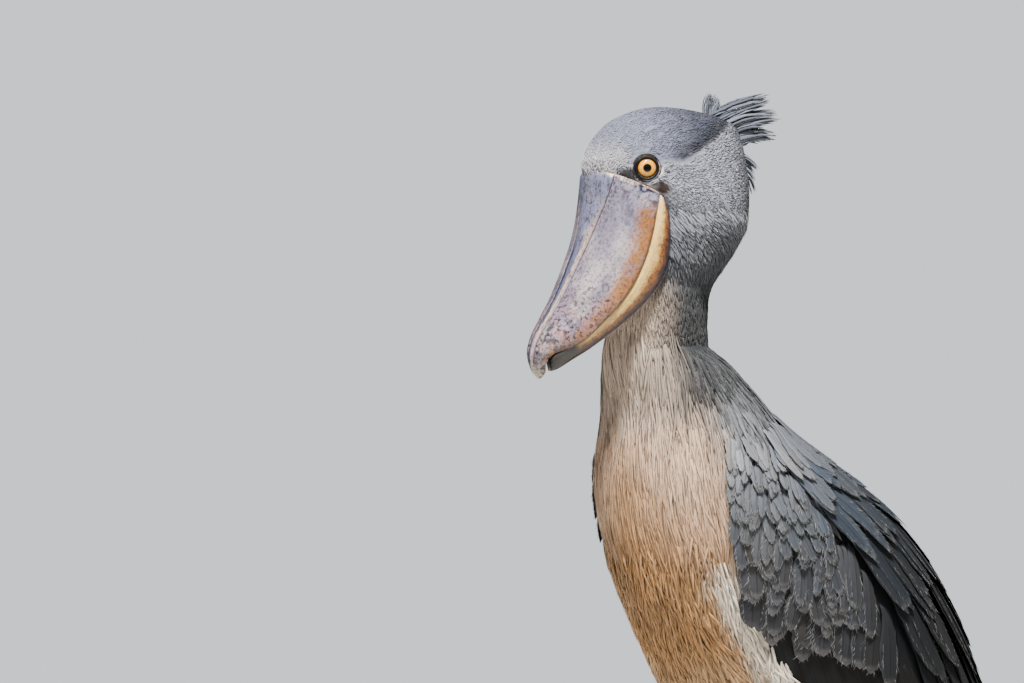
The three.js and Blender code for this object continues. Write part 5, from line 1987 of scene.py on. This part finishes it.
@dataclass(frozen=True)
class Finish:
    """What all finishes share: a pattern over the colour that each point of a piece carries."""

    name: str

    def make(self) -> bpy.types.Material:
        """Makes the material."""
        material = bpy.data.materials.new(self.name)
        material.use_nodes = True
        material.node_tree.nodes.clear()
        add = partial(add_node, material.node_tree)
        coat = add("Attribute", {"attribute_name": "coat"})
        add("OutputMaterial", {}, {"Surface": self.surface(add, coat)})
        return material

    def surface(self, add: Adder, coat: bpy.types.Node) -> bpy.types.Node:
        """Adds the pattern and the shader.

        Args:
            add: adds a node to the material.
            coat: the colour that the piece carries.

        Returns:
            The shader.
        """
        raise NotImplementedError


@dataclass(frozen=True)
class Feather(Finish):
    """Grown keratin vanes: dull, a little silky, with fine barbs slanting from the shaft."""

    barbs: float  # barbs along a vane
    shaft: float  # darkness of the line of the shaft
    fringe: float  # strength of the worn pale fringe round the tip
    roughness: float = 0.7
    sheen: float = 0.1
    bump: float = 0.5
    slant: float = -0.22  # how far a barb runs back along the vane from shaft to edge
    pale: str = "#9a9c9f"
    lumps: tuple[float, float, float] = (1.6, 9, 14)  # millimetres across: grain, stray and clouds

    def surface(self, add: Adder, coat: bpy.types.Node) -> bpy.types.Node:
        """Adds barbs, shaft, fringe and shader."""
        marks = add("Attribute", {"attribute_name": "marks"}).outputs["Vector"]
        across, along, worn = add("SeparateXYZ", {}, {0: marks}).outputs
        aside = add("Math", {"operation": "ABSOLUTE"}, {0: across})
        # Barbs leave the shaft at a slant, so their phase grows along the vane and falls outward.
        slant = add("Math", MULTIPLY_ADD, {0: aside, 1: self.slant, 2: along})
        noises = [{"Scale": scale_of(size), "Detail": 3.0} for size in self.lumps]
        fine, wander, cloud = (add("TexNoise", {}, noise) for noise in noises)
        stray = add("Math", MULTIPLY, {0: wander, 1: 6.0})
        phase = add("Math", MULTIPLY_ADD, {0: slant, 1: self.barbs * 2 * math.pi, 2: stray})
        barb = add("Math", {"operation": "SINE"}, {0: phase})
        light = add("Math", MULTIPLY_ADD, {0: barb, 1: 0.06, 2: 0.6})
        for noise in (fine, cloud):
            light = add("Math", MULTIPLY_ADD, {0: noise, 1: 0.4, 2: light})
        stem = {0: aside, "From Min": 0.03, "From Max": 0.08, "To Min": 1 - self.shaft}
        light = add("Math", MULTIPLY, {0: light, 1: add("MapRange", {}, stem)})
        tinted = add("VectorMath", SCALE, {0: coat, "Scale": light})
        # The worn edge is nearest where either the side or the tip is, and the noise breaks it up.
        rim = add("Math", {"operation": "MAXIMUM"}, {0: aside, 1: along})
        rim = add("Math", MULTIPLY_ADD, {0: fine, 1: 0.16, 2: rim})
        rim = add("MapRange", {}, {0: rim, "From Min": 0.96, "From Max": 1.07, "To Max": self.fringe})
        late = add("MapRange", {}, {0: along, "From Min": 0.35, "From Max": 0.7})
        for part in (late, worn):
            rim = add("Math", MULTIPLY, {0: rim, 1: part})
        edge = {0: rim, 6: tinted, 7: (*linear(self.pale), 1)}
        relief = add("Math", MULTIPLY_ADD, {0: fine, 1: 1.2, 2: barb})
        inputs = {
            "Base Color": add("Mix", {"data_type": "RGBA"}, edge).outputs[2],
            "Normal": add("Bump", {}, {"Height": relief, "Strength": self.bump, "Distance": 0.0004}),
            "Roughness": self.roughness,
            "Sheen Weight": self.sheen,
            "Sheen Roughness": 0.5,
            "IOR": 1.54,
            "Specular IOR Level": 0.2,
        }
        return add("BsdfPrincipled", {}, inputs)


@dataclass(frozen=True)
class Hide(Finish):
    """Living skin and scaled shanks: matt and leathery, with fine pores and creases."""

    pore: float  # size of a crease in millimetres
    roughness: float = 0.6
    depth: float = 0.0004

    def surface(self, add: Adder, coat: bpy.types.Node) -> bpy.types.Node:
        """Adds creases and shader."""
        cells = add("TexVoronoi", {"feature": "F1"}, {"Scale": scale_of(self.pore)})
        cloud = add("TexNoise", {}, {"Scale": scale_of(6), "Detail": 4.0})
        light = add("Math", MULTIPLY_ADD, {0: cloud, 1: 0.6, 2: 0.72})
        light = add("Math", MULTIPLY_ADD, {0: cells, 1: -0.12, 2: light})
        inputs = {
            "Base Color": add("VectorMath", SCALE, {0: coat, "Scale": light}),
            "Normal": add("Bump", {}, {"Height": cells, "Strength": 0.6, "Distance": self.depth}),
            "Roughness": self.roughness,
            "IOR": 1.45,
            "Specular IOR Level": 0.3,
        }
        return add("BsdfPrincipled", {}, inputs)


@dataclass(frozen=True)
class Horn(Finish):
    """Grown horn of bill and claws: a satin sheath with long growth streaks, scratches and flecks.

    Marks give how thick the flecks and the streaks stand at each point.
    """

    roughness: float = 0.34
    gloss: float = 0.35
    fleck: str = "#2b1f2e"
    streak: str = "#1d2236"
    lean: float = -38.0  # degrees that the growth lines lean forward, as the bill does
    stretch: float = 7.0  # length of a streak against its width

    def surface(self, add: Adder, coat: bpy.types.Node) -> bpy.types.Node:
        """Adds streaks, flecks and shader."""
        marks = add("Attribute", {"attribute_name": "marks"}).outputs["Vector"]
        much_fleck, much_streak, _ = add("SeparateXYZ", {}, {0: marks}).outputs
        place = add("TexCoord").outputs["Object"]
        long = {"Vector": place, "Rotation": (math.radians(self.lean), 0, 0), "Scale": (1, 1, self.stretch)}
        long = add("Mapping", {"vector_type": "TEXTURE"}, long)
        kinds = ((long, 1.7, 4.0, 0.65), (place, 3.4, 6.0, 0.72), (place, 16, 2.0, 0.5))
        noises = [
            {"Vector": spot, "Scale": scale_of(size), "Detail": detail, "Roughness": rough}
            for spot, size, detail, rough in kinds
        ]
        streak, fleck, cloud = (add("TexNoise", {}, noise) for noise in noises)
        light = add("Math", MULTIPLY_ADD, {0: streak, 1: 0.55, 2: 0.54})
        for noise, part in ((cloud, 0.35), (fleck, 0.1)):
            light = add("Math", MULTIPLY_ADD, {0: noise, 1: part, 2: light})
        colour = add("VectorMath", SCALE, {0: coat, "Scale": light})
        flaws = ((streak, much_streak, self.streak, 0.5), (fleck, much_fleck, self.fleck, 0.48))
        for noise, much, hue, low in flaws:
            mask = add("MapRange", {}, {0: noise, "From Min": low, "From Max": low + 0.13})
            mask = add("Math", MULTIPLY, {0: mask, 1: much})
            over = {0: mask, 6: colour, 7: (*linear(hue), 1)}
            colour = add("Mix", {"data_type": "RGBA"}, over).outputs[2]
        dull = {0: streak, "To Min": self.roughness - 0.08, "To Max": self.roughness + 0.16}
        relief = add("Math", MULTIPLY_ADD, {0: fleck, 1: 0.5, 2: streak})
        inputs = {
            "Base Color": colour,
            "Normal": add("Bump", {}, {"Height": relief, "Strength": 0.4, "Distance": 0.0006}),
            "Roughness": add("MapRange", {}, dull),
            "IOR": 1.55,
            "Coat Weight": self.gloss,
            "Coat Roughness": 0.22,
            "Subsurface Weight": 0.05,
            "Subsurface Radius": (0.004, 0.0025, 0.0015),
        }
        return add("BsdfPrincipled", {}, inputs)


@dataclass(frozen=True)
class Cornea(Finish):
    """Wet living eye: a glass-smooth clear coat over the iris, which catches a point of light."""

    def surface(self, add: Adder, coat: bpy.types.Node) -> bpy.types.Node:
        """Adds the grain of the iris and the clear coat."""
        grain = add("TexNoise", {}, {"Scale": scale_of(0.9), "Detail": 3.0})
        light = add("Math", MULTIPLY_ADD, {0: grain, 1: 0.5, 2: 0.75})
        inputs = {
            "Base Color": add("VectorMath", SCALE, {0: coat, "Scale": light}),
            "Roughness": 0.5,
            "IOR": 1.38,
            "Specular IOR Level": 0.1,
            "Coat Weight": 1.0,
            "Coat Roughness": 0.02,
            "Coat IOR": 1.38,
        }
        return add("BsdfPrincipled", {}, inputs)


@dataclass(frozen=True)
class Plaster(Finish):
    """Smooth cast plaster of the studio floor, pale and matt, with a faint mottle."""

    pale: str = "#d9d7d2"

    def surface(self, add: Adder, coat: bpy.types.Node) -> bpy.types.Node:
        """Adds the mottle and the shader."""
        mottle = add("TexNoise", {}, {"Scale": scale_of(400), "Detail": 3.0})
        light = add("Math", MULTIPLY_ADD, {0: mottle, 1: 0.06, 2: 0.97})
        colour = add("VectorMath", SCALE, {0: linear(self.pale), "Scale": light})
        return add("BsdfPrincipled", {}, {"Base Color": colour, "Roughness": 0.9})


@dataclass
class Lamp:
    """A soft area light: where it stands, its size and its power."""

    name: str
    azimuth: float  # degrees round the bird, as a camera's
    elevation: float
    distance: float
    size: float
    watts: float
    colour: str


@dataclass
class Studio:
    """Floor, lights and camera."""

    floor_radius: float = 7.0
    camera_azimuth: float = 50.0
    camera_side: float = -0.27352
    camera_distance: float = 12.0
    camera_height: float = 0.954
    lens: float = 405.6
    world: str = "#c3cad6"
    world_strength: float = 0.11
    backdrop: str = "#d3d6da"
    backdrop_strength: float = 1.5
    lamps: tuple[Lamp, ...] = (
        Lamp("key", 46, 60, 3.6, 0.6, 470.0, "#fff8f0"),
        Lamp("fill", 350, 20, 3.6, 2.2, 8.0, "#dbe6f8"),
        Lamp("back", 215, 45, 3.6, 1.6, 40.0, "#f0f3f8"),
    )
    aim: tuple[float, float, float] = (0.0, -0.02, 0.75)

    def floor(self) -> None:
        """Lays the pale floor."""
        turn = full_turn(96)
        edge = [(self.floor_radius * math.cos(a), self.floor_radius * math.sin(a), 0.0) for a in turn]
        mesh = bpy.data.meshes.new("studio_floor")
        mesh.from_pydata(edge, [], [list(range(len(edge)))])
        mesh.materials.append(Plaster("smooth_plaster").make())
        floor = bpy.data.objects.new("studio_floor", mesh)
        bpy.context.scene.collection.objects.link(floor)

    def light(self) -> None:
        """Sets the lamps and the soft light from all round."""
        for lamp in self.lamps:
            data = bpy.data.lights.new(lamp.name, "AREA")
            data.size = lamp.size
            data.energy = lamp.watts
            data.color = linear(lamp.colour)
            source = bpy.data.objects.new(lamp.name, data)
            a, e = math.radians(lamp.azimuth), math.radians(lamp.elevation)
            out = Vector((math.sin(a) * math.cos(e), -math.cos(a) * math.cos(e), math.sin(e)))
            source.location = Vector(self.aim) + out * lamp.distance
            source.rotation_mode = "QUATERNION"
            source.rotation_quaternion = (-out).to_track_quat("-Z", "Y")
            bpy.context.scene.collection.objects.link(source)
        world = bpy.data.worlds.new("soft_room")
        world.use_nodes = True
        world.node_tree.nodes.clear()
        add = partial(add_node, world.node_tree)
        lit = ((self.world, self.world_strength), (self.backdrop, self.backdrop_strength))
        room, wall = (
            add("Background", {}, {"Color": (*linear(colour), 1), "Strength": strength})
            for colour, strength in lit
        )
        seen = add("LightPath").outputs["Is Camera Ray"]
        both = add("MixShader", {}, {0: seen, 1: room, 2: wall})
        add("OutputWorld", {}, {"Surface": both})
        bpy.context.scene.world = world

    def camera(self) -> None:
        """Sets the camera at the photograph's angle, looking level."""
        data = bpy.data.cameras.new("camera")
        data.lens = self.lens
        data.sensor_width = 36
        data.clip_start, data.clip_end = 0.5, 60
        camera = bpy.data.objects.new("camera", data)
        a = math.radians(self.camera_azimuth)
        right = Vector((math.cos(a), math.sin(a), 0))
        back = Vector((math.sin(a), -math.cos(a), 0))
        place = right * self.camera_side + back * self.camera_distance
        camera.location = place + Vector((*(SHIFT[:2] * MM), self.camera_height))
        camera.rotation_mode = "QUATERNION"
        camera.rotation_quaternion = (-back).to_track_quat("-Z", "Y")
        bpy.context.scene.collection.objects.link(camera)
        bpy.context.scene.camera = camera


@dataclass
class Shoebill:
    """The whole bird."""

    markings: Markings = field(default_factory=Markings)
    eyes: Eyes = field(default_factory=Eyes)
    under_coat: float = 0.85  # tone of the skin against that of the coat over it: painted shade under the coat

    def dress_skin(self, skin: Surface) -> None:
        """Shows the skin, with the markings of the coat."""
        # The skin is darker than the coat over it: painted shade between and under the tufts.
        colour = self.markings.colour(skin.points, skin.station, skin.angle) * self.under_coat
        bare = smooth(skin.points[:, 2], 392, 374)[:, None]
        colour = mix(colour, tone(self.markings.leg), bare)
        form = Form.plain(skin.points, np.zeros((0, 4), int), skin.tris, colour)
        nodes = [f"{part}_{side}" for side in ("left", "right") for part in ("thigh", "shank", "foot")]
        nodes += [f"toe_{toe}_{side}" for side in ("left", "right") for toe in Legs().toes]
        hide = Hide("bare_skin", pore=1.6).make()
        make_piece("skin", form, hide, ("head", "neck", "torso", *nodes))

    def build(self) -> None:
        """Builds all pieces."""
        skin = Skin().build(self.eyes)
        LOG.info("skin: %d triangles", len(skin.tris))
        self.dress_skin(skin)
        small = Feather("downy_feather", 9.0, 0.0, fringe=0.15, roughness=0.8, sheen=0.11, bump=0.3).make()
        vane = Feather("vaned_feather", 40.0, 0.5, fringe=0.6, roughness=0.6, sheen=0.015).make()
        Coat(skin, self.markings, COAT).build(small)
        for side in (1, -1):
            Wing(side).build(vane)
        Tail().build(vane)
        Crest().build(small)
        Bill().build(Horn("grown_horn").make())
        lid = Hide("folded_lid", pore=0.9, roughness=0.42, depth=0.0002).make()
        self.eyes.build(skin, Cornea("wet_cornea").make(), lid)
        Scales().build(skin, Hide("scaled_shank", pore=1.2, roughness=0.5).make())
        Claws().build(Horn("dark_claw", roughness=0.32, gloss=0.3).make())


def main() -> None:
    """Builds the bird and the studio."""
    logging.basicConfig(level=logging.INFO, format="%(name)s %(message)s")
    studio = Studio()
    studio.camera()
    studio.floor()
    studio.light()
    Shoebill().build()


if __name__ == "__main__":
    main()
